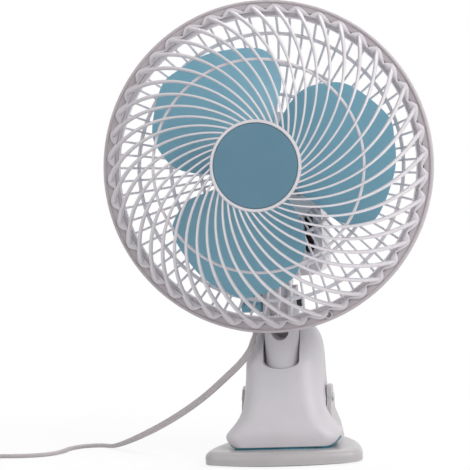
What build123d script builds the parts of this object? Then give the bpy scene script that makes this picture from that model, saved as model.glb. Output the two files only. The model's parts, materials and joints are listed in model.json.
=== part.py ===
from build123d import *
import math
import os

# Clip fan: a small caged fan on a tilting and turning neck that stands on a spring clip with a flat foot.
# X is to the fan's right as the photograph shows it, -Y is the side the air leaves, +Z is up.
# The origin is the centre of the foot's underside, straight below the swivel axis.

os.makedirs("parts", exist_ok=True)

# ---- Driving sizes, millimetres --------------------------------------------------------------

# Axes
axis_height = 195.0
tilt_height = 105.0
hinge_y = 14.0
hinge_z = 39.0
jaw_open = 28.0

# Clearances
turn_gap = 0.05
fit_gap = 0.15
moving_gap = 0.3
side_gap = 0.5
screw_gap = 0.15
head_gap = 0.4
lip_gap = 0.4

# Cage
cage_r = 108.0
cage_wall = 1.8
cage_front = -80.0
rim_front = -36.5
rim_plate = 2.0
rim_width = 6.0
skirt_depth = 12.0
crown_depth = 3.2
crown_lip = 0.4
crown_middle = (1.0, 45.0)
crown_edge = (3.7, 60.0)
shoulder_inset = 3.5
front_ribs = 44
front_rib_radii = (28.9, 66.6, 104.8)
front_rib_turns = (99.2, 134.0, 157.7)
front_rib_widths = (1.9, 2.4, 3.4)
support_ring_r = 67.0
support_ring_y = -71.2
support_ring_size = 1.8
rear_ribs = 69
rear_rib_width = 1.6
rear_shell = 2.4
rear_rim_width = 8.6
rear_rim_plate = 2.2
rear_ring_radii = (49.0, 68.5, 88.0)
rear_ring_depths = (-4.0, -7.0, -18.0)
rear_ring_width = 2.4
rear_plate_r = 36.0
rear_plate_edge = 1.5
hook_count = 3
hook_angle = 22.0
hook_length = 10.0
hook_depth = 1.6
hook_width = 2.4

# Badge and grille screw
badge_r = 26.8
badge_thickness = 2.5
badge_edge = 0.6
seat_wall = 1.7
seat_depth = 3.0
seat_floor = 2.0
grille_screw_angle = -69.6
grille_screw_r = 103.8
grille_boss_r = 2.8
grille_boss_rise = 1.2
grille_head_r = 1.7
grille_head_depth = 1.6

# Fan blade
blade_tip_r = 85.5
blade_y = -38.0
blade_thickness = 1.8
blade_count = 3
blade_heading = 15.0
petal_root = (6.0, 8.0)
hub_r = 20.0
hub_wall = 2.2
hub_front = -50.0
hub_depth = 24.0
hub_boss_r = 5.5
shaft_r = 2.5
shaft_front = -54.5
shaft_rear = 38.0
blade_nut_r = 6.0
blade_nut_depth = 4.0
shaft_chamfer = 0.4

# Motor
stator_r = 21.0
stator_drop = 44.0
stator_bore = 12.2
rotor_gap = 0.6
stator_front = 14.0
stator_depth = 16.0
window_width = 22.0
window_top = -18.0
window_height = 16.0
coil_reach = 6.0
coil_gap = 0.2
coil_stretch = 4.0
coil_corner = 4.0
bracket_plate = 2.0
bracket_width = 40.0
bracket_height = 12.0
bracket_offset = 5.0
bush_r = 5.0
bush_depth = 6.0
motor_screw_x = 16.6
spacer_r = 2.8
screw_r = 1.5
pilot_r = 1.25
screw_head_r = 2.8
screw_head = 1.6

# Motor pod
pod_r = 30.5
pod_drop = 73.0
pod_corner = 9.0
pod_wall = 2.0
pod_front = -2.0
cover_depth = 12.0
housing_depth = 44.0
pod_back_round = 8.0
nose_r = 12.0
grille_mount_r = 24.0
vent_x = 22.0
vent_drop = 45.5
vent_height = 25.0
vent_width = 6.0
motor_post_r = 4.0
mount_post_r = 3.2
mount_post = 8.0
housing_post_r = 3.6

# Rocker switch on the pod's back
switch_z = 163.0
switch_width = 15.0
switch_height = 20.0
bezel_lip = 1.6
rocker_width = 10.4
rocker_height = 15.6
switch_depth = 11.0
bezel_rise = 1.4
bezel_round = 1.2
rocker_room = 10.4
rocker_pivot_depth = 1.0
rocker_edge = 1.6
rocker_ridge = 3.0
rocker_root = 0.4
rocker_belly = -5.5
rocker_pin_r = 1.2
rocker_pin_reach = 0.2

# Tilt joint and neck
tongue_width = 11.9
tongue_r = 9.0
bracket_y = 12.0
bracket_depth = 22.0
bracket_top = 139.0
bracket_opening_bottom = 127.0
bracket_opening = (40.0, 20.0)
tab_bottom = 124.5
tab_width = 14.0
tab_height = 16.5
tab_plate = 3.0
tongue_root = 14.0
tongue_reach = 14.3
yoke_r = 11.7
yoke_head_r = 12.4
yoke_cheek_r = 11.0
yoke_slot_bottom = 80.0
yoke_slot_width = 12.2
yoke_cone_bottom = 91.0
yoke_cone_top = 96.0
yoke_foot_z = 60.5
stub_r = 9.0
tilt_bolt_r = 2.5
knob_r = 6.6
knob_length = 14.2
knob_gap = 0.4
knob_flutes = 8
knob_flange = 3.0
flute_r = 1.3
lock_nut_r = 4.2
lock_nut_depth = 3.2
lock_nut_gap = 0.8
nut_inset = 0.9
bolt_tip = 0.6
washer_depth = 1.4
swivel_head = 1.8
swivel_bite = 11.0
stub_lift = 0.2

# Upper jaw: height, front, rear, width and corner radius of each level of the bell
bell_levels = (
    (11.2, -26.5, 30.0, 73.5, 12.0),
    (20.0, -27.0, 31.0, 75.0, 13.0),
    (28.0, -24.5, 33.0, 61.5, 13.0),
    (36.0, -21.0, 35.0, 55.0, 13.0),
    (48.0, -17.0, 37.0, 52.0, 14.0),
    (62.0, -13.0, 38.0, 51.0, 15.0),
    (78.0, -4.0, 38.0, 48.0, 15.5),
    (85.0, 3.0, 35.5, 41.0, 13.0),
    (89.5, 12.0, 29.5, 26.0, 7.0),
)
jaw_wall = 2.2
jaw_floor = 2.5
jaw_roof = 2.6
socket_r = 14.2
socket_bottom = 48.0
split_y = 28.0
pocket_x = 27.0
pocket_y = -3.0
pocket_top = 51.0
lip_width = 77.0
lip_round = 9.5
scoop_lip = 0.6
scoop_gap = 0.6
scoop_r = yoke_r + scoop_gap
scoop_drop = 5.0
scoop_back = 1.0
pad_thickness = 1.0
pad_depth = 19.5
pad_rise = 4.5
lower_pad_width = 66.0
lower_pad_corner = 9.0
pad_inset = 0.3
hinge_boss_r = 5.0
hinge_boss_length = 7.5
pin_r = 2.0
cover_post_r = 3.4
cover_post_depth = 12.0
cover_head_r = 2.5
socket_wall = 3.0
channel_wall = 2.7

# Lower jaw
foot_top = 9.5
foot_front = 40.0
foot_half = 52.0
foot_rear = 48.0
foot_round = 5.0
foot_heel_r = 12.0
foot_wall = 2.2
foot_shell_bottom = 1.0
foot_pad_inset = 4.0
plate_thickness = 2.0
lower_pad_thickness = 0.5
ear_r = 8.4
ear_wall = 2.8
ear_foot_spread = 4.2
ear_low_spread = 2.8
handle_wall = 3.2
handle_top = 58.0
handle_half = 19.0
handle_base_half = 27.0
base_post_r = 3.4
base_head_r = 2.5
base_screw_length = 6.0
base_screw_x = 38.0
base_screw_ys = (-20.0, 26.0)

# Hinge pin
pin_head = 1.2
pin_head_r = 3.4
pin_tail = 1.4
pin_clip_plate = 0.9

# Torsion spring round the hinge pin
wire_d = 1.8
spring_r = 6.0
spring_turns = 13
spring_pitch = 2.3
upper_leg = 26.5
lower_leg = 30.6

# Power cord: its points are chosen by eye along the photographed run, past the view's edge to the coil
cord_d = 4.6
relief_start = (-3.4, 20.5, 92.6)
relief_end = (-15.2, 5.0, 88.0)
relief_root_r = 3.1
relief_tip_r = 2.4
hood_r = 4.2
hood_length = 3.0
cord_points = (
    relief_end,
    (-19.33, -0.42, 86.39),
    (-19.0, -7.5, 78.5),
    (-23.8, -9.8, 68.5),
    (-37.5, -4.5, 56.8),
    (-57.5, 4.0, 40.5),
    (-83.5, 21.0, 24.5),
    (-109.5, 40.0, 11.5),
    (-134.0, 58.5, 2.3),
    (-145.0, 69.0, 2.3),
    (-159.0, 67.5, 2.3),
    (-167.5, 56.5, 2.3),
    (-168.5, 42.5, 2.3),
    (-176.0, 30.5, 2.3),
    (-192.0, 26.5, 2.3),
    (-212.0, 28.0, 2.6),
    (-228.0, 29.0, 3.2),
    (-246.0, 29.0, 3.2),
)
coil_pitch = 6.0
coil_turns_in = 4
coil_turns_out = 3.5
coil_outer_r = 39.2
coil_inner_r = coil_outer_r - coil_turns_in * coil_pitch
tie_width = 8.0
tie_thickness = 0.8
tie_gap = 0.1
tie_slack = 0.8
lead_run = 18.0
lead_drift = 2.0
plug_length = 30.0
plug_width = 24.0
plug_round = 3.0
plug_neck = (8.0, 9.0)
plug_neck_round = 2.5
plug_taper = 0.45
prong_bite = 6.0
prong_length = 17.0
prong_width = 6.3
prong_thickness = 1.5
prong_spacing = 12.7


# ---- Helpers ---------------------------------------------------------------------------------

fan_axis = Axis((0, 0, axis_height), (0, 1, 0))
fan_section = Plane(origin=(0, 0, axis_height), x_dir=(0, 1, 0), z_dir=(1, 0, 0))


def facing(depth, height=axis_height, across=0.0):
    """A plane seen from the front at a depth along Y: its x is X and its y is Z, counted from the height."""
    return Plane(origin=(across, depth, height), x_dir=(1, 0, 0), z_dir=(0, -1, 0))


def from_right(across, depth=0.0, height=0.0):
    """A plane seen from the right at a place along X: its x is Y and its y is Z."""
    return Plane(origin=(across, depth, height), x_dir=(0, 1, 0), z_dir=(1, 0, 0))


def polar(radius, degrees):
    """The point at a radius and an angle, counted from the plane's x."""
    angle = math.radians(degrees)
    return (radius * math.cos(angle), radius * math.sin(angle))


def pod_outline(inset):
    """The motor pod's outline seen from the front, drawn in by the inset."""
    with BuildSketch() as outline:
        Circle(pod_r - inset)
        Rectangle(2 * (pod_r - inset), pod_drop - inset, align=(Align.CENTER, Align.MAX))
        fillet(outline.vertices().group_by(Axis.Y)[0], pod_corner - inset)
    return outline.sketch


def foot_outline(inset):
    """The foot's outline seen from above, drawn in by the inset."""
    front = foot_front - inset
    half = foot_half - inset
    rear = foot_rear - inset
    with BuildSketch() as outline:
        with BuildLine():
            nose = ThreePointArc((-half + 8, -front + 7), (0, -front), (half - 8, -front + 7))
            right_corner = TangentArc(nose @ 1, (half, -front + 18), tangent=nose % 1)
            right_side = TangentArc(right_corner @ 1, (half - 9.5, 22), tangent=right_corner % 1)
            right_heel = TangentArc(right_side @ 1, (half - 25, rear), tangent=right_side % 1)
            left_corner = TangentArc(nose @ 0, (-half, -front + 18), tangent=(nose % 0) * -1)
            left_side = TangentArc(left_corner @ 1, (-half + 9.5, 22), tangent=left_corner % 1)
            left_heel = TangentArc(left_side @ 1, (-half + 25, rear), tangent=left_side % 1)
            Line(right_heel @ 1, left_heel @ 1)
        make_face()
        fillet(outline.vertices().group_by(Axis.Y)[-1], foot_heel_r - inset)
    return outline.sketch


def lip_outline(inset, bottom):
    """The outline that rounds the lower corners of the bell's front view, drawn in by the inset."""
    with BuildSketch() as outline:
        with Locations((0, bottom)):
            Rectangle(lip_width - 2 * inset, 2 * tilt_height, align=(Align.CENTER, Align.MIN))
        fillet(outline.vertices().group_by(Axis.Y)[0], lip_round - inset)
    return outline.sketch


def bell(inset, bottom, top):
    """The upper jaw's bell as a solid, drawn in by the inset and kept between two heights."""
    with BuildPart() as body:
        for height, front, rear, width, corner in bell_levels:
            depth = rear - front - 2 * inset
            with BuildSketch(Plane((0, (front + rear) / 2, height))):
                RectangleRounded(width - 2 * inset, depth, corner - inset)
        loft()
        split(bisect_by=Plane.XY.offset(top), keep=Keep.BOTTOM)
        with BuildSketch(facing(-foot_rear, 0)):
            add(lip_outline(inset, bottom))
        extrude(amount=-2 * foot_rear, mode=Mode.INTERSECT)
    return body.part


def scoop_outline(margin):
    """The hollow round the neck in the bell's front: a round bottom and straight sides, with a margin."""
    with BuildSketch() as outline:
        with Locations((0, yoke_foot_z + scoop_lip + scoop_drop)):
            Ellipse(scoop_r + margin, scoop_drop + margin)
            Rectangle(2 * (scoop_r + margin), tilt_height, align=(Align.CENTER, Align.MIN))
    return outline.sketch


def half_turn(start, start_tangent, end, end_tangent):
    """Two arcs that leave the start along its tangent, meet smoothly and reach the end along its tangent."""
    chord = end - start
    both = start_tangent + end_tangent
    bend = 2 * (1 - start_tangent.dot(end_tangent))
    across = chord.dot(both)
    reach = (math.sqrt(across**2 + bend * chord.dot(chord)) - across) / bend
    left = start + start_tangent * reach
    right = end - end_tangent * reach
    middle = (left + right) * 0.5
    TangentArc(start, middle, tangent=start_tangent)
    TangentArc(middle, end, tangent=right - left)


def least_gap(points, reach, thickness):
    """The least gap of a winding to itself: its points lie at even steps, and a turn is over the reach."""
    least = math.inf
    for index, point in enumerate(points):
        for other in points[index + reach :]:
            least = min(least, (point - other).length)
    return least - thickness


def turned(depth, height, degrees):
    """Where a point of the upper jaw lies at rest if it stands at this depth and height with the jaw open."""
    angle = math.radians(degrees)
    y = depth - hinge_y
    z = height - hinge_z
    back = y * math.cos(angle) - z * math.sin(angle)
    up = z * math.cos(angle) + y * math.sin(angle)
    return (hinge_y + back, hinge_z + up)


def screw_along_y(head_y, tip_y, head_r=screw_head_r, shank_r=screw_r, head=screw_head):
    """A pan screw on the sketch plane's origin along Y, its head's flat at head_y and its point at tip_y."""
    way = 1 if tip_y > head_y else -1
    with BuildPart() as screw:
        with BuildSketch(Plane.YZ):
            with Locations((head_y - way * head / 2, head_r / 2)):
                Rectangle(head, head_r)
            with Locations(((head_y + tip_y) / 2, shank_r / 2)):
                Rectangle(abs(tip_y - head_y), shank_r)
        revolve(axis=Axis.Y)
    return screw.part


# ---- Cage ------------------------------------------------------------------------------------

rib_pitch = 360.0 / front_ribs
seat_r = badge_r + fit_gap
seat_outer = seat_r + seat_wall
seat_floor_front = cage_front + seat_depth

with BuildSketch() as front_gap:
    with BuildLine():
        rib_side = []
        next_side = []
        for radius, turn, width in zip(front_rib_radii, front_rib_turns, front_rib_widths):
            half_width = math.degrees(width / 2 / radius)
            rib_side.append(polar(radius, turn + half_width))
            next_side.append(polar(radius, turn + rib_pitch - half_width))
        ThreePointArc(*rib_side)
        ThreePointArc(*next_side)
        Line(rib_side[0], next_side[0])
        Line(rib_side[2], next_side[2])
    make_face()

with BuildPart() as front_grille:
    with BuildSketch(fan_section):
        with BuildLine():
            crown = ThreePointArc(
                (cage_front + crown_lip, seat_r),
                (cage_front + crown_middle[0], crown_middle[1]),
                (cage_front + crown_edge[0], crown_edge[1]),
            )
            TangentArc(crown @ 1, (rim_front, cage_r - shoulder_inset), tangent=crown % 1)
            Line((rim_front, cage_r - shoulder_inset), (rim_front + rim_plate, cage_r - 2 * shoulder_inset))
            inner = ThreePointArc(
                (cage_front + crown_edge[0] + crown_depth, crown_edge[1] - lip_gap),
                (cage_front + crown_middle[0] + crown_depth, crown_middle[1]),
                (cage_front + crown_lip + crown_depth, seat_r),
            )
            TangentArc(
                inner @ 0, (rim_front + rim_plate, cage_r - 2 * shoulder_inset), tangent=(inner % 0) * -1
            )
            Line(inner @ 1, crown @ 0)
        make_face()
    revolve(axis=fan_axis)
    with BuildSketch(facing(cage_front - 1)):
        with PolarLocations(0, front_ribs):
            add(front_gap.sketch)
    extrude(amount=cage_front - rim_front - rim_plate - 1, mode=Mode.SUBTRACT)
    with BuildSketch(fan_section):
        with Locations((rim_front, cage_r - rim_width)):
            Rectangle(rim_plate, rim_width, align=Align.MIN)
        with Locations((rim_front, cage_r - cage_wall)):
            Rectangle(skirt_depth, cage_wall, align=Align.MIN)
        with Locations((seat_floor_front, 0)):
            Rectangle(seat_floor, seat_outer, align=Align.MIN)
        with Locations((cage_front, seat_r)):
            Rectangle(seat_depth + seat_floor, seat_wall, align=Align.MIN)
        with Locations((support_ring_y, support_ring_r - support_ring_size / 2)):
            Rectangle(support_ring_size, support_ring_size, align=Align.MIN)
    revolve(axis=fan_axis)
    hook_y = rim_front + rim_plate + rear_rim_plate + 2 * fit_gap
    with BuildSketch(facing(hook_y)):
        with PolarLocations(cage_r - cage_wall - hook_width / 3, hook_count, start_angle=hook_angle):
            Rectangle(hook_width, hook_length)
    extrude(amount=-hook_depth)
    boss_face = rim_front - grille_boss_rise
    with BuildSketch(facing(boss_face)):
        with Locations(polar(grille_screw_r, grille_screw_angle)):
            Circle(grille_boss_r)
    extrude(amount=-grille_boss_rise - rim_plate)
    with BuildSketch(facing(boss_face)):
        with Locations(polar(grille_screw_r, grille_screw_angle)):
            Circle(grille_head_r + 0.2)
    extrude(amount=-grille_head_depth, mode=Mode.SUBTRACT)
    with BuildSketch(facing(boss_face)):
        with Locations(polar(grille_screw_r, grille_screw_angle)):
            Circle(pilot_r + screw_gap)
    extrude(amount=-grille_boss_rise - rim_plate, mode=Mode.SUBTRACT)
front_grille.part.label = "front_grille"
export_step(front_grille.part, "parts/front_grille.step")

with BuildPart() as grille_badge:
    with BuildSketch(facing(seat_floor_front - badge_thickness)):
        Circle(badge_r)
    extrude(amount=-badge_thickness)
    fillet(grille_badge.edges().group_by(Axis.Y)[0], badge_edge)
grille_badge.part.label = "grille_badge"
export_step(grille_badge.part, "parts/grille_badge.step")

rear_rim_front = rim_front + rim_plate + fit_gap
rear_rim_r = cage_r - cage_wall - lip_gap
shell_line = [(rear_rim_front + 2.3, rear_rim_r - rear_rim_width + 1.4)]
shell_line += list(zip(reversed(rear_ring_depths), reversed(rear_ring_radii)))
shell_line += [(pod_front - rear_shell / 2, rear_plate_r), (pod_front - rear_shell / 2, nose_r + fit_gap)]

with BuildSketch() as rear_gap:
    starts = [rear_plate_r + rear_plate_edge] + [radius + rear_ring_width / 2 for radius in rear_ring_radii]
    ends = [radius - rear_ring_width / 2 for radius in rear_ring_radii] + [rear_rim_r - rear_rim_width + 0.3]
    for start, end in zip(starts, ends):
        start_half = 180.0 / rear_ribs - math.degrees(rear_rib_width / 2 / start)
        end_half = 180.0 / rear_ribs - math.degrees(rear_rib_width / 2 / end)
        with BuildLine():
            Polyline(
                polar(start, -start_half),
                polar(end, -end_half),
                polar(end, end_half),
                polar(start, start_half),
                close=True,
            )
        make_face()

with BuildPart() as rear_grille:
    with BuildSketch(fan_section):
        with BuildLine():
            front_line = [(y - rear_shell / 2, r) for y, r in shell_line]
            back_line = [(y + rear_shell / 2, r) for y, r in shell_line]
            Polyline(*front_line, *reversed(back_line), close=True)
        make_face()
    revolve(axis=fan_axis)
    with BuildSketch(facing(rim_front)):
        with PolarLocations(0, rear_ribs):
            add(rear_gap.sketch)
    extrude(amount=rim_front, mode=Mode.SUBTRACT)
    with BuildSketch(fan_section):
        with Locations((rear_rim_front, rear_rim_r - rear_rim_width)):
            Rectangle(rear_rim_plate, rear_rim_width, align=Align.MIN)
    revolve(axis=fan_axis)
    with BuildSketch(facing(rim_front)):
        with Locations(polar(grille_screw_r, grille_screw_angle)):
            Circle(pilot_r)
        with PolarLocations(grille_mount_r, 4, start_angle=45):
            Circle(screw_r + screw_gap)
    extrude(amount=rim_front, mode=Mode.SUBTRACT)
rear_grille.part.label = "rear_grille"
export_step(rear_grille.part, "parts/rear_grille.step")

with BuildPart() as grille_screw:
    screw_x, screw_z = polar(grille_screw_r, grille_screw_angle)
    with Locations((screw_x, 0, axis_height + screw_z)):
        add(
            screw_along_y(
                boss_face + grille_head_depth,
                rear_rim_front + rear_rim_plate,
                grille_head_r,
                pilot_r,
                grille_head_depth - 0.2,
            )
        )
grille_screw.part.label = "grille_screw"
export_step(grille_screw.part, "parts/grille_screw.step")


# ---- Fan blade and shaft ---------------------------------------------------------------------

# One petal's outline as shares of the tip's radius: out along its middle, and across it to the trailing edge
petal_outline = (
    (0.1579, -0.2737),
    (0.4035, -0.5392),
    (0.5579, -0.6047),
    (0.7181, -0.5708),
    (0.9298, -0.2865),
    (0.9965, -0.0386),
    (0.9895, 0.1462),
    (0.7883, 0.4140),
    (0.6000, 0.4807),
    (0.4117, 0.4585),
    (0.2129, 0.2924),
)
# Distance out and the petal's slope there: the fore-and-aft run for each unit across
petal_twist = ((8.0, 0.55), (35.0, 0.42), (55.0, 0.33), (75.0, 0.26), (95.0, 0.22))

with BuildPart() as petal:
    for out, slope in petal_twist:
        with BuildSketch(
            Plane(origin=(out, blade_y, axis_height), x_dir=(0, -slope, 1), z_dir=(1, 0, 0))
        ):
            Rectangle(1.5 * blade_tip_r, blade_thickness)
    loft()
    with BuildSketch(facing(hub_front - 30)):
        with BuildLine():
            edge = Spline(*[(u * blade_tip_r, v * blade_tip_r) for u, v in petal_outline])
            Polyline(edge @ 1, petal_root, (petal_root[0], -petal_root[1]), edge @ 0)
        make_face()
    extrude(amount=-90, mode=Mode.INTERSECT)
    with BuildSketch(facing(hub_front - 30)):
        Circle(hub_r - 1)
    extrude(amount=-90, mode=Mode.SUBTRACT)

with BuildPart() as fan_blade:
    for number in range(blade_count):
        turn = blade_heading + number * 360.0 / blade_count
        add(petal.part.rotate(fan_axis, -turn))
    with BuildSketch(facing(hub_front)):
        Circle(hub_r)
    extrude(amount=-hub_depth)
    with BuildSketch(facing(hub_front + hub_wall)):
        Circle(hub_r - hub_wall)
        Circle(hub_boss_r, mode=Mode.SUBTRACT)
    extrude(amount=-hub_depth, mode=Mode.SUBTRACT)
    with BuildSketch(facing(hub_front)):
        Circle(shaft_r)
    extrude(amount=-hub_depth, mode=Mode.SUBTRACT)
fan_blade.part.label = "fan_blade"
export_step(fan_blade.part, "parts/fan_blade.step")

with BuildPart() as blade_nut:
    with BuildSketch(facing(hub_front - blade_nut_depth)):
        RegularPolygon(blade_nut_r, 6)
        Circle(shaft_r, mode=Mode.SUBTRACT)
    extrude(amount=-blade_nut_depth)
    chamfer(blade_nut.edges().group_by(Axis.Y)[0].filter_by(GeomType.LINE), 0.6)
blade_nut.part.label = "blade_nut"
export_step(blade_nut.part, "parts/blade_nut.step")

with BuildPart() as motor_shaft:
    with BuildSketch(facing(shaft_front)):
        Circle(shaft_r)
    extrude(amount=shaft_front - shaft_rear)
    chamfer(motor_shaft.edges().filter_by(GeomType.CIRCLE), shaft_chamfer)
motor_shaft.part.label = "motor_shaft"
export_step(motor_shaft.part, "parts/motor_shaft.step")

with BuildPart() as rotor:
    with BuildSketch(facing(stator_front + moving_gap)):
        Circle(stator_bore - rotor_gap)
        Circle(shaft_r, mode=Mode.SUBTRACT)
    extrude(amount=-stator_depth + 2 * moving_gap)
rotor.part.label = "rotor"
export_step(rotor.part, "parts/rotor.step")


# ---- Motor -----------------------------------------------------------------------------------

stator_rear = stator_front + stator_depth
leg_top = window_top - window_height
leg_middle = (leg_top - stator_drop) / 2
leg_height = stator_drop + leg_top

with BuildPart() as stator_core:
    with BuildSketch(facing(stator_front)):
        Circle(stator_r)
        Rectangle(2 * stator_r, stator_drop, align=(Align.CENTER, Align.MAX))
        Circle(stator_bore, mode=Mode.SUBTRACT)
        with Locations((0, window_top - window_height / 2)):
            Rectangle(window_width, window_height, mode=Mode.SUBTRACT)
        with GridLocations(2 * motor_screw_x, 1, 2, 1):
            Circle(screw_r + screw_gap, mode=Mode.SUBTRACT)
    extrude(amount=-stator_depth)
stator_core.part.label = "stator_core"
export_step(stator_core.part, "parts/stator_core.step")

with BuildPart() as motor_coil:
    with BuildSketch(from_right(-window_width / 2 + coil_gap, stator_front, axis_height)):
        with Locations((stator_depth / 2, leg_middle)):
            RectangleRounded(
                stator_depth + 2 * coil_reach, leg_height + 2 * coil_reach + coil_stretch, coil_corner
            )
            Rectangle(stator_depth + 2 * coil_gap, leg_height + 2 * coil_gap, mode=Mode.SUBTRACT)
    extrude(amount=window_width - 2 * coil_gap)
motor_coil.part.label = "motor_coil"
export_step(motor_coil.part, "parts/motor_coil.step")


def bracket(plate_y, stator_face, name):
    """A bridge that carries a bush on the shaft's axis and stands on the stator on two spacers."""
    near = min(plate_y, stator_face)
    with BuildPart() as bridge:
        with BuildSketch(facing(plate_y)):
            SlotOverall(bracket_width, bracket_height)
        extrude(amount=-bracket_plate)
        with BuildSketch(facing(near)):
            with GridLocations(2 * motor_screw_x, 1, 2, 1):
                Circle(spacer_r)
        extrude(amount=-bracket_offset - bracket_plate)
        with BuildSketch(facing(near)):
            Circle(bush_r)
            with GridLocations(2 * motor_screw_x, 1, 2, 1):
                Circle(screw_r + screw_gap)
        extrude(amount=-bracket_offset - bracket_plate, mode=Mode.SUBTRACT)
    bridge.part.label = name
    export_step(bridge.part, f"parts/{name}.step")


front_bracket_y = stator_front - bracket_offset - bracket_plate
rear_bracket_y = stator_rear + bracket_offset
bracket(front_bracket_y, stator_front, "front_bracket")
bracket(rear_bracket_y, stator_rear, "rear_bracket")


def bush(bracket_face, name):
    """A sintered bush for the motor shaft, held in a bracket's middle."""
    with BuildPart() as sleeve:
        with BuildSketch(facing(bracket_face + (bracket_plate - bush_depth) / 2)):
            Circle(bush_r)
            Circle(shaft_r + turn_gap, mode=Mode.SUBTRACT)
        extrude(amount=-bush_depth)
    sleeve.part.label = name
    export_step(sleeve.part, f"parts/{name}.step")


bush(front_bracket_y, "front_bush")
bush(rear_bracket_y, "rear_bush")

with BuildPart() as motor_screws:
    with Locations((-motor_screw_x, 0, axis_height), (motor_screw_x, 0, axis_height)):
        add(screw_along_y(rear_bracket_y + bracket_plate, pod_front + 4))
motor_screws.part.label = "motor_screws"
export_step(motor_screws.part, "parts/motor_screws.step")


# ---- Motor pod -------------------------------------------------------------------------------

post_depth = front_bracket_y - pod_front

with BuildPart() as motor_front_cover:
    with BuildSketch(facing(pod_front)):
        add(pod_outline(0))
    extrude(amount=-cover_depth)
    with BuildSketch(facing(pod_front + pod_wall)):
        add(pod_outline(pod_wall))
    extrude(amount=-cover_depth, mode=Mode.SUBTRACT)
    with BuildSketch(facing(pod_front)):
        with GridLocations(2 * motor_screw_x, 1, 2, 1):
            Circle(motor_post_r)
    extrude(amount=-post_depth)
    with BuildSketch(facing(pod_front)):
        with PolarLocations(grille_mount_r, 4, start_angle=45):
            Circle(mount_post_r)
    extrude(amount=-mount_post)
    with BuildSketch(facing(pod_front - rear_shell)):
        Circle(nose_r)
    extrude(amount=-rear_shell)
    with BuildSketch(facing(pod_front + 3)):
        with GridLocations(2 * motor_screw_x, 1, 2, 1):
            Circle(screw_r)
    extrude(amount=-post_depth, mode=Mode.SUBTRACT)
    with BuildSketch(facing(pod_front - rear_shell)):
        Circle(shaft_r + 1.5)
        with PolarLocations(grille_mount_r, 4, start_angle=45):
            Circle(screw_r)
        for side in (-1, 1):
            with Locations((side * vent_x, -vent_drop)):
                SlotOverall(vent_height, vent_width, rotation=90)
    extrude(amount=-mount_post - rear_shell - 1, mode=Mode.SUBTRACT)
motor_front_cover.part.label = "motor_front_cover"
export_step(motor_front_cover.part, "parts/motor_front_cover.step")

with BuildPart() as grille_mount_screws:
    for number in range(4):
        mount_x, mount_z = polar(grille_mount_r, 45 + number * 90)
        with Locations((mount_x, 0, axis_height + mount_z)):
            add(screw_along_y(pod_front - rear_shell, pod_front + mount_post - 1))
grille_mount_screws.part.label = "grille_mount_screws"
export_step(grille_mount_screws.part, "parts/grille_mount_screws.step")

housing_front = pod_front + cover_depth
housing_rear = housing_front + housing_depth
tab_y = bracket_y + bracket_depth
bracket_screw_y = bracket_y + 15
bracket_screw_z = 134.0
housing_screw_z = 136.0
bracket_seat = pod_wall + fit_gap

with BuildPart() as housing_room:
    with BuildSketch(facing(housing_front)):
        add(pod_outline(pod_wall))
    extrude(amount=-housing_depth + pod_wall)
    fillet(housing_room.edges().group_by(Axis.Y)[-1], pod_back_round - pod_wall)

with BuildPart() as motor_housing:
    with BuildSketch(facing(housing_front)):
        add(pod_outline(0))
    extrude(amount=-housing_depth)
    fillet(motor_housing.edges().group_by(Axis.Y)[-1], pod_back_round)
    add(housing_room.part, mode=Mode.SUBTRACT)
    with BuildSketch(facing(tab_y + tab_plate + fit_gap, housing_screw_z)):
        Circle(housing_post_r)
    extrude(amount=tab_y + tab_plate + fit_gap - housing_rear + 1)
    with BuildSketch(facing(tab_y, housing_screw_z)):
        Circle(screw_r + screw_gap)
    extrude(amount=-housing_depth, mode=Mode.SUBTRACT)
    with BuildSketch(facing(housing_rear - screw_head, housing_screw_z)):
        Circle(screw_head_r + head_gap)
    extrude(amount=-screw_head - 1, mode=Mode.SUBTRACT)
    with BuildSketch(from_right(-pod_r - 1)):
        with Locations((bracket_screw_y, bracket_screw_z)):
            Circle(screw_head_r + head_gap)
    extrude(amount=2 * pod_r + 2, mode=Mode.SUBTRACT)
    with Locations((0, housing_front, axis_height - pod_drop)):
        Box(
            tongue_width + 2 * moving_gap,
            bracket_y + tongue_reach - housing_front,
            3 * pod_wall,
            align=(Align.CENTER, Align.MIN, Align.CENTER),
            mode=Mode.SUBTRACT,
        )
    with Locations((0, housing_rear, switch_z)):
        Box(switch_width, 3 * pod_wall, switch_height, mode=Mode.SUBTRACT)
motor_housing.part.label = "motor_housing"
export_step(motor_housing.part, "parts/motor_housing.step")

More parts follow.
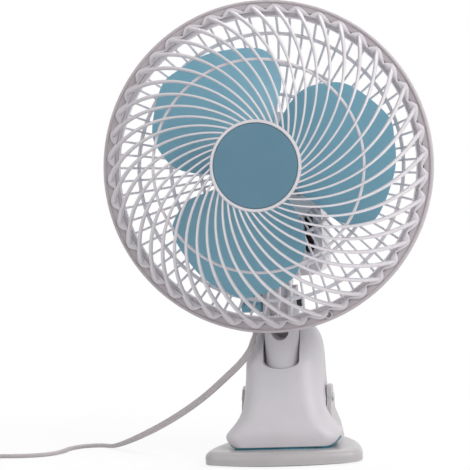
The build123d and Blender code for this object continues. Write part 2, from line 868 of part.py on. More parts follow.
with BuildPart() as tilt_bracket:
    with BuildSketch(facing(bracket_y)):
        add(pod_outline(bracket_seat))
        Rectangle(3 * pod_r, 2 * (axis_height - bracket_top), mode=Mode.SUBTRACT)
        with Locations((0, bracket_opening_bottom - axis_height)):
            Rectangle(*bracket_opening, align=(Align.CENTER, Align.MIN), mode=Mode.SUBTRACT)
    extrude(amount=-bracket_depth)
    with BuildSketch(facing(tab_y, tab_bottom)):
        Rectangle(tab_width, tab_height, align=(Align.CENTER, Align.MIN))
    extrude(amount=-tab_plate)
    with BuildSketch(from_right(0)):
        with Locations((0, tilt_height)):
            Circle(tongue_r)
        with BuildLine():
            Polyline(
                (-8.6, tilt_height + 3),
                (-2, tilt_height + 9),
                (housing_front + 0.3, axis_height - pod_drop - 0.5),
                (bracket_y, axis_height - pod_drop + 4),
                (bracket_y + tongue_root, axis_height - pod_drop + 4),
                (bracket_y + tongue_root, axis_height - pod_drop - 5),
                (6.5, tilt_height - 6.2),
                close=True,
            )
        make_face()
    extrude(amount=tongue_width / 2, both=True)
    with BuildSketch(from_right(-tongue_width)):
        with Locations((0, tilt_height)):
            Circle(tilt_bolt_r + turn_gap)
    extrude(amount=2 * tongue_width, mode=Mode.SUBTRACT)
    with BuildSketch(from_right(-pod_r)):
        with Locations((bracket_screw_y, bracket_screw_z)):
            Circle(screw_r)
    extrude(amount=2 * pod_r, mode=Mode.SUBTRACT)
    with BuildSketch(facing(tab_y, housing_screw_z)):
        Circle(screw_r)
    extrude(amount=-tab_plate, mode=Mode.SUBTRACT)
tilt_bracket.part.label = "tilt_bracket"
export_step(tilt_bracket.part, "parts/tilt_bracket.step")

with BuildPart() as bracket_screws:
    for side in (-1, 1):
        head_x = side * (pod_r - bracket_seat)
        with BuildSketch(from_right(head_x, bracket_screw_y, bracket_screw_z)):
            Circle(screw_head_r)
        extrude(amount=side * screw_head)
        with BuildSketch(from_right(head_x, bracket_screw_y, bracket_screw_z)):
            Circle(screw_r)
        extrude(amount=-side * 7)
bracket_screws.part.label = "bracket_screws"
export_step(bracket_screws.part, "parts/bracket_screws.step")

with BuildPart() as housing_screw:
    with Locations((0, 0, housing_screw_z)):
        add(screw_along_y(housing_rear - screw_head, tab_y))
housing_screw.part.label = "housing_screw"
export_step(housing_screw.part, "parts/housing_screw.step")

rocker_y = housing_rear - rocker_pivot_depth
with BuildPart() as switch_body:
    with Locations((0, housing_rear, switch_z)):
        Box(
            switch_width - 2 * turn_gap,
            switch_depth,
            switch_height - 2 * turn_gap,
            align=(Align.CENTER, Align.MAX, Align.CENTER),
        )
        Box(
            switch_width + 2 * bezel_lip,
            bezel_rise,
            switch_height + 2 * bezel_lip,
            align=(Align.CENTER, Align.MIN, Align.CENTER),
        )
    fillet(switch_body.edges().filter_by(Axis.Y).group_by(Axis.Y)[-1], bezel_round)
    with Locations((0, housing_rear + bezel_rise, switch_z)):
        Box(
            rocker_width + 2 * moving_gap,
            rocker_room,
            rocker_height + 4 * moving_gap,
            align=(Align.CENTER, Align.MAX, Align.CENTER),
            mode=Mode.SUBTRACT,
        )
switch_body.part.label = "switch_body"
export_step(switch_body.part, "parts/switch_body.step")

with BuildPart() as switch_rocker:
    with BuildSketch(from_right(-rocker_width / 2, rocker_y, switch_z)):
        with BuildLine():
            half = rocker_height / 2
            Polyline((rocker_edge, -half), (rocker_ridge, 0), (rocker_edge, half))
            Line((rocker_edge, half), (rocker_root, half))
            ThreePointArc((rocker_root, half), (rocker_belly, 0), (rocker_root, -half))
            Line((rocker_root, -half), (rocker_edge, -half))
        make_face()
    extrude(amount=rocker_width)
    with BuildSketch(from_right(-rocker_width / 2 - rocker_pin_reach, rocker_y, switch_z)):
        Circle(rocker_pin_r)
    extrude(amount=rocker_width + 2 * rocker_pin_reach)
switch_rocker.part.label = "switch_rocker"
export_step(switch_rocker.part, "parts/switch_rocker.step")


# ---- Neck ------------------------------------------------------------------------------------

stub_bottom = socket_bottom - stub_lift
yoke_top = tilt_height + yoke_cheek_r
nut_face = yoke_head_r - nut_inset

with BuildPart() as neck_yoke:
    with BuildSketch(Plane.XZ):
        with BuildLine():
            Polyline(
                (0, stub_bottom),
                (stub_r, stub_bottom),
                (stub_r, yoke_foot_z + fit_gap),
                (yoke_r, yoke_foot_z + fit_gap),
                (yoke_r, yoke_cone_bottom),
                (yoke_head_r, yoke_cone_top),
                (yoke_head_r, yoke_top + 1),
                (0, yoke_top + 1),
                close=True,
            )
        make_face()
    revolve(axis=Axis.Z)
    with BuildSketch(from_right(-2 * yoke_r)):
        with BuildLine():
            ThreePointArc((-yoke_cheek_r, tilt_height), (0, yoke_top), (yoke_cheek_r, tilt_height))
            Polyline(
                (yoke_cheek_r, tilt_height),
                (2 * yoke_r, yoke_cone_top),
                (2 * yoke_r, stub_bottom),
                (-2 * yoke_r, stub_bottom),
                (-2 * yoke_r, yoke_cone_top),
                (-yoke_cheek_r, tilt_height),
            )
        make_face()
    extrude(amount=4 * yoke_r, mode=Mode.INTERSECT)
    with BuildSketch(facing(-2 * yoke_r, yoke_slot_bottom)):
        with Locations((0, yoke_slot_width / 2)):
            Circle(yoke_slot_width / 2)
            Rectangle(yoke_slot_width, 2 * yoke_top, align=(Align.CENTER, Align.MIN))
    extrude(amount=-4 * yoke_r, mode=Mode.SUBTRACT)
    with BuildSketch(from_right(-2 * yoke_r)):
        with Locations((0, tilt_height)):
            Circle(tilt_bolt_r + turn_gap)
    extrude(amount=4 * yoke_r, mode=Mode.SUBTRACT)
    with BuildSketch(from_right(nut_face)):
        with Locations((0, tilt_height)):
            Circle(lock_nut_r + lock_nut_gap)
    extrude(amount=2 * yoke_r, mode=Mode.SUBTRACT)
    with BuildSketch(from_right(-nut_face)):
        with Locations((0, tilt_height)):
            Circle(knob_r + knob_gap)
    extrude(amount=-2 * yoke_r, mode=Mode.SUBTRACT)
    with BuildSketch(Plane.XY.offset(stub_bottom)):
        Circle(screw_r)
    extrude(amount=swivel_bite + 1, mode=Mode.SUBTRACT)
neck_yoke.part.label = "neck_yoke"
export_step(neck_yoke.part, "parts/neck_yoke.step")

with BuildPart() as lock_nut:
    with BuildSketch(from_right(nut_face, 0, tilt_height)):
        RegularPolygon(lock_nut_r, 6)
        Circle(tilt_bolt_r + turn_gap, mode=Mode.SUBTRACT)
    extrude(amount=lock_nut_depth)
lock_nut.part.label = "lock_nut"
export_step(lock_nut.part, "parts/lock_nut.step")

knob_right = -nut_face - knob_gap
with BuildPart() as tilt_knob:
    with BuildSketch(from_right(knob_right, 0, tilt_height)):
        Circle(knob_r)
    extrude(amount=-knob_length)
    fillet(tilt_knob.edges().group_by(Axis.X)[0], 1.5)
    fillet(tilt_knob.edges().group_by(Axis.X)[-1], 0.5)
    with BuildSketch(from_right(knob_right - knob_flange, 0, tilt_height)):
        with PolarLocations(knob_r + 0.5, knob_flutes):
            Circle(flute_r)
    extrude(amount=-knob_length, mode=Mode.SUBTRACT)
    with BuildSketch(from_right(knob_right, 0, tilt_height)):
        Circle(tilt_bolt_r)
    extrude(amount=-knob_length + knob_flange, mode=Mode.SUBTRACT)
tilt_knob.part.label = "tilt_knob"
export_step(tilt_knob.part, "parts/tilt_knob.step")

with BuildPart() as tilt_bolt:
    with BuildSketch(from_right(knob_right - knob_length + knob_flange, 0, tilt_height)):
        Circle(tilt_bolt_r)
    extrude(amount=knob_length - knob_flange - knob_right + nut_face + lock_nut_depth + bolt_tip)
    chamfer(tilt_bolt.edges().group_by(Axis.X)[-1], shaft_chamfer)
tilt_bolt.part.label = "tilt_bolt"
export_step(tilt_bolt.part, "parts/tilt_bolt.step")

with BuildPart() as swivel_washer:
    with BuildSketch(Plane.XY.offset(stub_bottom - washer_depth)):
        Circle(stub_r + 2)
        Circle(screw_r + screw_gap, mode=Mode.SUBTRACT)
    extrude(amount=washer_depth)
swivel_washer.part.label = "swivel_washer"
export_step(swivel_washer.part, "parts/swivel_washer.step")

with BuildPart() as swivel_screw:
    with BuildSketch(Plane.XY.offset(stub_bottom - washer_depth - swivel_head)):
        Circle(screw_head_r)
    extrude(amount=swivel_head)
    with BuildSketch(Plane.XY.offset(stub_bottom - washer_depth)):
        Circle(screw_r)
    extrude(amount=washer_depth + swivel_bite)
swivel_screw.part.label = "swivel_screw"
export_step(swivel_screw.part, "parts/swivel_screw.step")


# ---- Upper jaw -------------------------------------------------------------------------------

jaw_bottom = bell_levels[0][0]
jaw_top = bell_levels[-1][0]
inner_x = pocket_x - jaw_wall
exit_point = Vector(*relief_start)
exit_way = (Vector(*relief_end) - exit_point).normalized()
relief_length = (Vector(*relief_end) - exit_point).length
hood_back = exit_point - exit_way * hood_length
relief_plane = Plane(origin=exit_point, z_dir=exit_way)
cover_screw_spots = ((-19.0, 70.0, 36.3), (19.0, 70.0, 36.3), (-22.8, 25.0, 31.2), (22.8, 25.0, 31.2))

# The room inside the bell: it keeps off the swivel socket, the cord's channel and the pockets' walls
with BuildPart() as jaw_room:
    add(bell(jaw_wall, jaw_bottom + jaw_floor, jaw_top - jaw_roof))
    with BuildSketch(Plane.XY.offset(socket_bottom)):
        Circle(socket_r)
    extrude(amount=2 * jaw_top, mode=Mode.SUBTRACT)
    with BuildSketch(facing(-foot_rear, 0)):
        add(scoop_outline(jaw_wall))
    extrude(amount=-foot_rear - scoop_back - jaw_wall, mode=Mode.SUBTRACT)
    with BuildSketch(relief_plane.offset(-hood_length)):
        Circle(relief_root_r + channel_wall)
    extrude(amount=relief_length + 2 * hood_length, mode=Mode.SUBTRACT)
    for side in (-1, 1):
        with Locations((side * inner_x, pocket_y - jaw_wall, 0)):
            Box(
                50,
                100,
                pocket_top + jaw_wall,
                align=(Align.MIN if side > 0 else Align.MAX, Align.MIN, Align.MIN),
                mode=Mode.SUBTRACT,
            )

with BuildPart() as jaw_shell:
    add(bell(0, jaw_bottom, jaw_top))
    with BuildSketch(Plane.XY.offset(socket_bottom)):
        Circle(stub_r + socket_wall)
    extrude(amount=yoke_foot_z - socket_bottom)
    add(jaw_room.part, mode=Mode.SUBTRACT)
    # Pockets for the lower jaw's ears
    for side in (-1, 1):
        with Locations((side * pocket_x, pocket_y, 0)):
            Box(
                50,
                100,
                pocket_top,
                align=(Align.MIN if side > 0 else Align.MAX, Align.MIN, Align.MIN),
                mode=Mode.SUBTRACT,
            )
    # The floor stays under the front lip only, and the rear edge lifts so that it clears the foot when open
    with Locations((0, pocket_y - jaw_wall, 0)):
        Box(
            2 * inner_x,
            100,
            jaw_bottom + jaw_floor,
            align=(Align.CENTER, Align.MIN, Align.MIN),
            mode=Mode.SUBTRACT,
        )
    with BuildSketch(from_right(-2 * pocket_x)):
        with BuildLine():
            Polyline(
                turned(-10, foot_top + side_gap, jaw_open),
                turned(60, foot_top + side_gap, jaw_open),
                turned(60, foot_top - 60, jaw_open),
                close=True,
            )
        make_face()
    extrude(amount=4 * pocket_x, mode=Mode.SUBTRACT)
    # Hinge bosses
    for side in (-1, 1):
        with BuildSketch(from_right(side * pocket_x, hinge_y, hinge_z)):
            Circle(hinge_boss_r)
        extrude(amount=-side * hinge_boss_length)
    # Cover posts
    for post_x, post_z, head_y in cover_screw_spots:
        with BuildSketch(facing(split_y - cover_post_depth, post_z, post_x)):
            Circle(cover_post_r)
        extrude(amount=split_y - cover_post_depth - head_y)
    # Hood over the cord's way out
    with BuildSketch(relief_plane.offset(-hood_length)):
        Circle(hood_r)
    extrude(amount=hood_length)
    with Locations(hood_back):
        Sphere(hood_r)
    # The neck's socket, and the recess where the neck stands in the bell's slope
    with BuildSketch(Plane.XY.offset(socket_bottom)):
        Circle(stub_r + turn_gap)
    extrude(amount=jaw_top, mode=Mode.SUBTRACT)
    with BuildSketch(Plane.XY.offset(yoke_foot_z)):
        Circle(yoke_r + moving_gap)
    extrude(amount=jaw_top, mode=Mode.SUBTRACT)
    with BuildSketch(facing(-foot_rear, 0)):
        add(scoop_outline(0))
    extrude(amount=-foot_rear - scoop_back, mode=Mode.SUBTRACT)
    # Channel for the strain relief
    with BuildSketch(relief_plane):
        Circle(relief_root_r + lip_gap)
    extrude(amount=2 * relief_length, mode=Mode.SUBTRACT)
    with BuildSketch(from_right(-2 * pocket_x)):
        with Locations((hinge_y, hinge_z)):
            Circle(pin_r + turn_gap)
    extrude(amount=4 * pocket_x, mode=Mode.SUBTRACT)
    for post_x, post_z, head_y in cover_screw_spots:
        with BuildSketch(facing(split_y - cover_post_depth + 1, post_z, post_x)):
            Circle(pilot_r)
        extrude(amount=-60, mode=Mode.SUBTRACT)
        with BuildSketch(facing(head_y, post_z, post_x)):
            Circle(screw_head_r)
        extrude(amount=-20, mode=Mode.SUBTRACT)

with BuildPart() as upper_jaw:
    add(jaw_shell.part)
    split(bisect_by=Plane.XZ.offset(-split_y), keep=Keep.TOP)
upper_jaw.part.label = "upper_jaw"
export_step(upper_jaw.part, "parts/upper_jaw.step")

with BuildPart() as upper_jaw_cover:
    add(jaw_shell.part)
    split(bisect_by=Plane.XZ.offset(-split_y), keep=Keep.BOTTOM)
upper_jaw_cover.part.label = "upper_jaw_cover"
export_step(upper_jaw_cover.part, "parts/upper_jaw_cover.step")

with BuildPart() as cover_screws:
    for post_x, post_z, head_y in cover_screw_spots:
        with Locations((post_x, 0, post_z)):
            add(screw_along_y(head_y, split_y - cover_post_depth + 1, cover_head_r, pilot_r, 1.3))
cover_screws.part.label = "cover_screws"
export_step(cover_screws.part, "parts/cover_screws.step")

pad_front = bell_levels[0][1] + pad_inset
pad_middle = pad_front + pad_depth / 2
pad_bottom = jaw_bottom - pad_thickness
with BuildPart() as upper_pad:
    with BuildSketch(facing(pad_front, 0)):
        add(lip_outline(-pad_thickness, pad_bottom))
        add(lip_outline(0, jaw_bottom), mode=Mode.SUBTRACT)
        with Locations((0, jaw_bottom + pad_rise)):
            Rectangle(2 * lip_width, 2 * tilt_height, align=(Align.CENTER, Align.MIN), mode=Mode.SUBTRACT)
    extrude(amount=-pad_depth)
    with BuildSketch(Plane((0, pad_front + foot_half / 2, pad_bottom))):
        RectangleRounded(bell_levels[1][3], foot_half, bell_levels[0][4])
    extrude(amount=2 * pad_rise, mode=Mode.INTERSECT)
upper_pad.part.label = "upper_pad"
export_step(upper_pad.part, "parts/upper_pad.step")

with BuildPart() as cord_relief:
    with BuildSketch(relief_plane):
        Circle(relief_root_r)
    with BuildSketch(relief_plane.offset(relief_length)):
        Circle(relief_tip_r)
    loft()
cord_relief.part.label = "cord_relief"
export_step(cord_relief.part, "parts/cord_relief.step")


# ---- Lower jaw -------------------------------------------------------------------------------

plate_inset = foot_wall + fit_gap
ear_inner = pocket_x + side_gap
ear_outer = ear_inner + ear_wall
ear_front = pocket_y + 0.6

# The cheeks that carry the hinge pin
with BuildPart() as cheeks:
    with BuildSketch(facing(60, 0)):
        for side in (-1, 1):
            with BuildLine():
                Polyline(
                    (side * ear_inner, foot_top - 1),
                    (side * (ear_outer + ear_foot_spread), foot_top - 1),
                    (side * (ear_outer + ear_low_spread), 20),
                    (side * ear_outer, 30),
                    (side * ear_outer, 60),
                    (side * ear_inner, 60),
                    close=True,
                )
            make_face()
    extrude(amount=100)
    with BuildSketch(from_right(-60)):
        with BuildLine():
            ThreePointArc((hinge_y - ear_r, hinge_z), (hinge_y, hinge_z + ear_r), (hinge_y + ear_r, hinge_z))
            Polyline(
                (hinge_y + ear_r, hinge_z),
                (38, foot_top - 1),
                (ear_front, foot_top - 1),
                (ear_front + 0.6, 26),
                (hinge_y - ear_r, hinge_z),
            )
        make_face()
    extrude(amount=120, mode=Mode.INTERSECT)

# The handle behind the bell
with BuildPart() as handle:
    with BuildSketch(from_right(-40)):
        with BuildLine():
            Polyline(
                (43.0, foot_top - 2),
                (44.0, 15.0),
                (50.0, 47.0),
                (54.5, handle_top),
                (54.5 + handle_wall, handle_top - 1),
                (50.0 + handle_wall, 46.5),
                (44.0 + handle_wall, 14.5),
                (43.0 + handle_wall, foot_top - 2),
                close=True,
            )
        make_face()
    extrude(amount=80)
    with BuildSketch(facing(70, 0)):
        with BuildLine():
            Polyline(
                (-handle_base_half, 0),
                (handle_base_half, 0),
                (handle_half, handle_top + 1),
                (-handle_half, handle_top + 1),
                close=True,
            )
        make_face()
    extrude(amount=60, mode=Mode.INTERSECT)

with BuildPart() as lower_jaw:
    with BuildSketch(Plane.XY.offset(foot_shell_bottom)):
        add(foot_outline(0))
    extrude(amount=foot_top - foot_shell_bottom)
    fillet(lower_jaw.edges().group_by(Axis.Z)[-1], foot_round)
    with BuildSketch(Plane.XY.offset(foot_shell_bottom)):
        add(foot_outline(foot_wall + 2.0))
    extrude(amount=foot_top - foot_shell_bottom - foot_wall, mode=Mode.SUBTRACT)
    with BuildSketch(Plane.XY.offset(foot_shell_bottom)):
        add(foot_outline(foot_wall))
    extrude(amount=plate_thickness, mode=Mode.SUBTRACT)
    with BuildSketch(Plane.XY.offset(foot_shell_bottom + plate_thickness)):
        for screw_y in base_screw_ys:
            with Locations((-base_screw_x + screw_y / 6, screw_y), (base_screw_x - screw_y / 6, screw_y)):
                Circle(base_post_r)
    extrude(amount=foot_top - foot_shell_bottom - plate_thickness - foot_wall)
    add(cheeks.part)
    add(handle.part)
    with BuildSketch(from_right(-60)):
        with Locations((hinge_y, hinge_z)):
            Circle(pin_r)
    extrude(amount=120, mode=Mode.SUBTRACT)
    with BuildSketch(Plane.XY.offset(foot_shell_bottom)):
        for screw_y in base_screw_ys:
            with Locations((-base_screw_x + screw_y / 6, screw_y), (base_screw_x - screw_y / 6, screw_y)):
                Circle(pilot_r)
    extrude(amount=base_screw_length, mode=Mode.SUBTRACT)
lower_jaw.part.label = "lower_jaw"
export_step(lower_jaw.part, "parts/lower_jaw.step")

with BuildPart() as base_plate:
    with BuildSketch(Plane.XY.offset(foot_shell_bottom)):
        add(foot_outline(plate_inset))
        for screw_y in base_screw_ys:
            with Locations((-base_screw_x + screw_y / 6, screw_y), (base_screw_x - screw_y / 6, screw_y)):
                Circle(base_head_r + turn_gap, mode=Mode.SUBTRACT)
    extrude(amount=plate_thickness)
base_plate.part.label = "base_plate"
export_step(base_plate.part, "parts/base_plate.step")

with BuildPart() as base_screws:
    for screw_y in base_screw_ys:
        for side in (-1, 1):
            spot = (side * (base_screw_x - screw_y / 6), screw_y, foot_shell_bottom)
            with Locations(spot):
                Cylinder(base_head_r, plate_thickness, align=(Align.CENTER, Align.CENTER, Align.MIN))
                Cylinder(pilot_r, base_screw_length, align=(Align.CENTER, Align.CENTER, Align.MIN))
base_screws.part.label = "base_screws"
export_step(base_screws.part, "parts/base_screws.step")

with BuildPart() as foot_pad:
    with BuildSketch(Plane.XY):
        add(foot_outline(foot_pad_inset))
    extrude(amount=foot_shell_bottom)
foot_pad.part.label = "foot_pad"
export_step(foot_pad.part, "parts/foot_pad.step")

with BuildPart() as lower_pad:
    with BuildSketch(Plane((0, pad_middle, foot_top))):
        RectangleRounded(lower_pad_width, pad_depth, lower_pad_corner)
    extrude(amount=lower_pad_thickness)
lower_pad.part.label = "lower_pad"
export_step(lower_pad.part, "parts/lower_pad.step")

with BuildPart() as hinge_pin:
    with BuildSketch(from_right(-ear_outer - pin_tail, hinge_y, hinge_z)):
        Circle(pin_r)
    extrude(amount=2 * ear_outer + pin_tail)
    with BuildSketch(from_right(ear_outer, hinge_y, hinge_z)):
        Circle(pin_head_r)
    extrude(amount=pin_head)
    fillet(hinge_pin.edges().group_by(Axis.X)[-1], 0.5)
hinge_pin.part.label = "hinge_pin"
export_step(hinge_pin.part, "parts/hinge_pin.step")

with BuildPart() as pin_clip:
    with BuildSketch(from_right(-ear_outer, hinge_y, hinge_z)):
        Circle(pin_head_r)
        Circle(pin_r, mode=Mode.SUBTRACT)
    extrude(amount=-pin_clip_plate)
pin_clip.part.label = "pin_clip"
export_step(pin_clip.part, "parts/pin_clip.step")


# ---- Torsion spring --------------------------------------------------------------------------

leg_way = Vector(0, 0.6, -0.8)
leg_side = Vector(0, -0.8, -0.6)
spring_start = -spring_turns * spring_pitch / 2
pin_centre = Vector(0, hinge_y, hinge_z)


def spring_point(turns):
    """A point on the spring's middle line after this many turns, and the way the wire runs there."""
    angle = 2 * math.pi * turns
    place = pin_centre + (leg_side * math.cos(angle) + leg_way * math.sin(angle)) * spring_r
    along = (leg_way * math.cos(angle) - leg_side * math.sin(angle)) * (2 * math.pi * spring_r)
    across = Vector(spring_pitch, 0, 0)
    return place + Vector(spring_start + spring_pitch * turns, 0, 0), (along + across).normalized()


with BuildPart() as clip_spring:
    with BuildLine() as spring_line:
        first_point, first_way = spring_point(0)
        last_point, last_way = spring_point(spring_turns)
        Line(first_point - first_way * upper_leg, first_point)
        for step in range(2 * spring_turns):
            half_turn(*spring_point(step / 2), *spring_point((step + 1) / 2))
        Line(last_point, last_point + last_way * lower_leg)
    with BuildSketch(Plane(origin=first_point - first_way * upper_leg, z_dir=first_way)):
        Circle(wire_d / 2)
    sweep(path=spring_line.wires()[0])
clip_spring.part.label = "clip_spring"
export_step(clip_spring.part, "parts/clip_spring.step")

wire_length = spring_line.wires()[0].length
wire_samples = [spring_point(step / 24)[0] for step in range(24 * spring_turns + 1)]
wire_section = math.pi * wire_d**2 / 4
print("spring: wire volume over section times length", clip_spring.part.volume / (wire_section * wire_length))
print("spring: least gap", round(least_gap(wire_samples, 16, wire_d), 3))


# ---- Power cord ------------------------------------------------------------------------------


def corner_radii(points):
    """The arc radius at each corner of a route: 0.45 of its shorter run over the tangent of half its turn."""
    places = [Vector(*point) for point in points]
    radii = []
    for before, corner, after in zip(places, places[1:], places[2:]):
        shorter = min((corner - before).length, (after - corner).length)
        bend = (corner - before).get_angle(after - corner)
        radii.append(0.45 * shorter / math.tan(math.radians(bend / 2)))
    return radii


def cord_tube(points, name):
    """A round tube along a route of straight runs joined by arcs."""
    radii = corner_radii(points)
    with BuildPart() as tube:
        with BuildLine() as route:
            FilletPolyline(*points, radius=radii)
        with BuildSketch(Plane(origin=route.line @ 0, z_dir=route.line % 0)):
            Circle(cord_d / 2)
        sweep(path=route.wires()[0])
    tube.part.label = name
    export_step(tube.part, f"parts/{name}.step")
    length = route.wires()[0].length
    print(name, "radii", [round(radius, 1) for radius in radii])
    print(name, "length", round(length, 1), "volume over section times length")
    print(tube.part.volume / (math.pi * cord_d**2 / 4 * length))
    return length


free_length = cord_tube(cord_points, "power_cord")

coil_start = Vector(*cord_points[-1])
coil_centre = coil_start - Vector(0, coil_outer_r, 0)
climb_turns = 0.5
coil_turns = coil_turns_in + climb_turns + coil_turns_out


def coil_point(turns):
    """A point on the coil after this many turns: inwards, up half a turn, then outwards on top."""
    radius = coil_outer_r - coil_pitch * min(turns, coil_turns_in)
    radius += coil_pitch * max(0.0, turns - coil_turns_in - climb_turns)
    climb = min(max((turns - coil_turns_in) / climb_turns, 0.0), 1.0)
    angle = math.pi / 2 + 2 * math.pi * turns
    return coil_centre + Vector(radius * math.cos(angle), radius * math.sin(angle), coil_pitch * climb)


def coil_way(turns):
    """The level direction of the cord at a half turn of the coil."""
    angle = math.pi + 2 * math.pi * turns
    return Vector(math.cos(angle), math.sin(angle), 0)


with BuildPart() as cord_coil:
    with BuildLine() as coil_line:
        for step in range(int(2 * coil_turns)):
            now = step / 2
            half_turn(coil_point(now), coil_way(now), coil_point(now + 0.5), coil_way(now + 0.5))
    with BuildSketch(Plane(origin=coil_start, z_dir=coil_way(0))):
        Circle(cord_d / 2)
    sweep(path=coil_line.wires()[0])
cord_coil.part.label = "cord_coil"
export_step(cord_coil.part, "parts/cord_coil.step")

coil_length = coil_line.wires()[0].length
coil_samples = [coil_line.wires()[0] @ (step / 700) for step in range(701)]
coil_section = math.pi * cord_d**2 / 4
print("coil: length", round(coil_length, 1))
print("coil: volume over section times length", cord_coil.part.volume / (coil_section * coil_length))
print("coil: least gap", round(least_gap(coil_samples, 30, cord_d), 3))

coil_end = coil_point(coil_turns)
lead_points = (
    tuple(coil_end),
    tuple(coil_end + Vector(-lead_run, 0, 0)),
    tuple(coil_end + Vector(-2 * lead_run, -lead_drift, 0)),
)
lead_length = cord_tube(lead_points, "plug_lead")
print("cord: whole length", round(free_length + coil_length + lead_length, 1))

tie_centre_r = coil_inner_r + 1.75 * coil_pitch
tie_room_width = 3 * coil_pitch + cord_d + 2 * tie_slack
tie_room_height = coil_pitch + cord_d + 2 * tie_gap
with BuildPart() as cord_tie:
    tie_plane = Plane(
        origin=(coil_centre.X + tie_centre_r, coil_centre.Y, coil_start.Z + coil_pitch / 2),
        x_dir=(1, 0, 0),
        z_dir=(0, -1, 0),
    )
    with BuildSketch(tie_plane):
        RectangleRounded(tie_room_width + 2 * tie_thickness, tie_room_height + 2 * tie_thickness, 2)
        RectangleRounded(tie_room_width, tie_room_height, 1.2, mode=Mode.SUBTRACT)
    extrude(amount=tie_width / 2, both=True)
cord_tie.part.label = "cord_tie"
export_step(cord_tie.part, "parts/cord_tie.step")

plug_base = Vector(*lead_points[-1])
plug_way = (plug_base - Vector(*lead_points[-2])).normalized()
plug_plane = Plane(origin=plug_base, x_dir=(0, 0, 1), z_dir=plug_way)
with BuildPart() as plug_body:
    with BuildSketch(plug_plane):
        RectangleRounded(*plug_neck, plug_neck_round)
    with BuildSketch(plug_plane.offset(plug_length * plug_taper)):
        RectangleRounded(2 * plug_base.Z, plug_width, plug_round)
    loft()
    with BuildSketch(plug_plane.offset(plug_length * plug_taper)):
        RectangleRounded(2 * plug_base.Z, plug_width, plug_round)
    extrude(amount=plug_length * (1 - plug_taper))
    with BuildSketch(plug_plane.offset(plug_length - prong_bite)):
        with GridLocations(1, prong_spacing, 1, 2):
            Rectangle(prong_width, prong_thickness)
    extrude(amount=prong_bite, mode=Mode.SUBTRACT)
plug_body.part.label = "plug_body"
export_step(plug_body.part, "parts/plug_body.step")

with BuildPart() as plug_pins:
    with BuildSketch(plug_plane.offset(plug_length - prong_bite)):
        with GridLocations(1, prong_spacing, 1, 2):
            Rectangle(prong_width, prong_thickness)
    extrude(amount=prong_bite + prong_length)
plug_pins.part.label = "plug_pins"
export_step(plug_pins.part, "parts/plug_pins.step")
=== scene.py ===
"""Clip fan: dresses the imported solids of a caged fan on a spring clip, in metres, in the solids' frame."""

import json
import math

import bmesh
import bpy
import numpy as np
from bpy.props import FloatProperty, FloatVectorProperty, IntProperty, PointerProperty
from bpy.types import Operator, Panel, PropertyGroup
from mathutils import Matrix, Vector


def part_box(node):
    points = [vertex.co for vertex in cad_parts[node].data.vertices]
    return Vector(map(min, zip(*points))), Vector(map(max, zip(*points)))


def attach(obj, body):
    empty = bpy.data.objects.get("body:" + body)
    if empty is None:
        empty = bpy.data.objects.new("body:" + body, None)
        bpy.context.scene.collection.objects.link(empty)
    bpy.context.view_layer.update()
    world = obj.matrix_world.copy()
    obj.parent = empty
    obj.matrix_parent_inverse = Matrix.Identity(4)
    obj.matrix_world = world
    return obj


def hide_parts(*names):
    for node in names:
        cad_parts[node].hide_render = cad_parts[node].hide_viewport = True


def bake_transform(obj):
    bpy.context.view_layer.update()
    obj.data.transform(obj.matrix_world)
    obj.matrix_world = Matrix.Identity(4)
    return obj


bl_info = {
    "name": "Clip Fan",
    "version": (1, 0, 0),
    "blender": (4, 5, 0),
    "location": "View3D > Sidebar > Clip Fan",
    "description": "Builds the visible pieces of a small caged fan on a spring clip",
    "category": "Object",
}

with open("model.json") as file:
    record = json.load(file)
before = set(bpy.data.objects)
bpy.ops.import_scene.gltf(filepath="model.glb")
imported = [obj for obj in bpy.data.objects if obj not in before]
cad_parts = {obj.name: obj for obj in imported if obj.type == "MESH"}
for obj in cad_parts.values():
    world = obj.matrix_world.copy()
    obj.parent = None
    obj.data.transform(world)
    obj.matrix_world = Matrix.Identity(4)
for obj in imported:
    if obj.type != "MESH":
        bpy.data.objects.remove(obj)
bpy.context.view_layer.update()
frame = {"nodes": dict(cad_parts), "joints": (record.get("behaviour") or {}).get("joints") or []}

# Places that the joints turn about, in millimetres
PIVOTS = {joint["name"]: np.array(joint["pos_m"]) * 1000 for joint in frame["joints"]}
FAN_HEIGHT = PIVOTS["blade_spin"][2]
TILT_HEIGHT = PIVOTS["head_tilt"][2]
HINGE = PIVOTS["jaw_hinge"]
# The frame's axes: right as seen from the front, back and up
X_AXIS, Y_AXIS, Z_AXIS = np.eye(3)


# ---- Sizes and colours -----------------------------------------------------------------------


def millimetres(name, description, default):
    """A length property whose default is given in millimetres and kept in metres."""
    return FloatProperty(
        name=name,
        description=description,
        default=default / 1000,
        min=0.0,
        precision=5,
        subtype="DISTANCE",
        unit="LENGTH",
    )


def colour(name, description, default):
    """A colour property, kept as linear light."""
    return FloatVectorProperty(
        name=name, description=description, default=default, size=3, min=0.0, max=1.0, subtype="COLOR"
    )


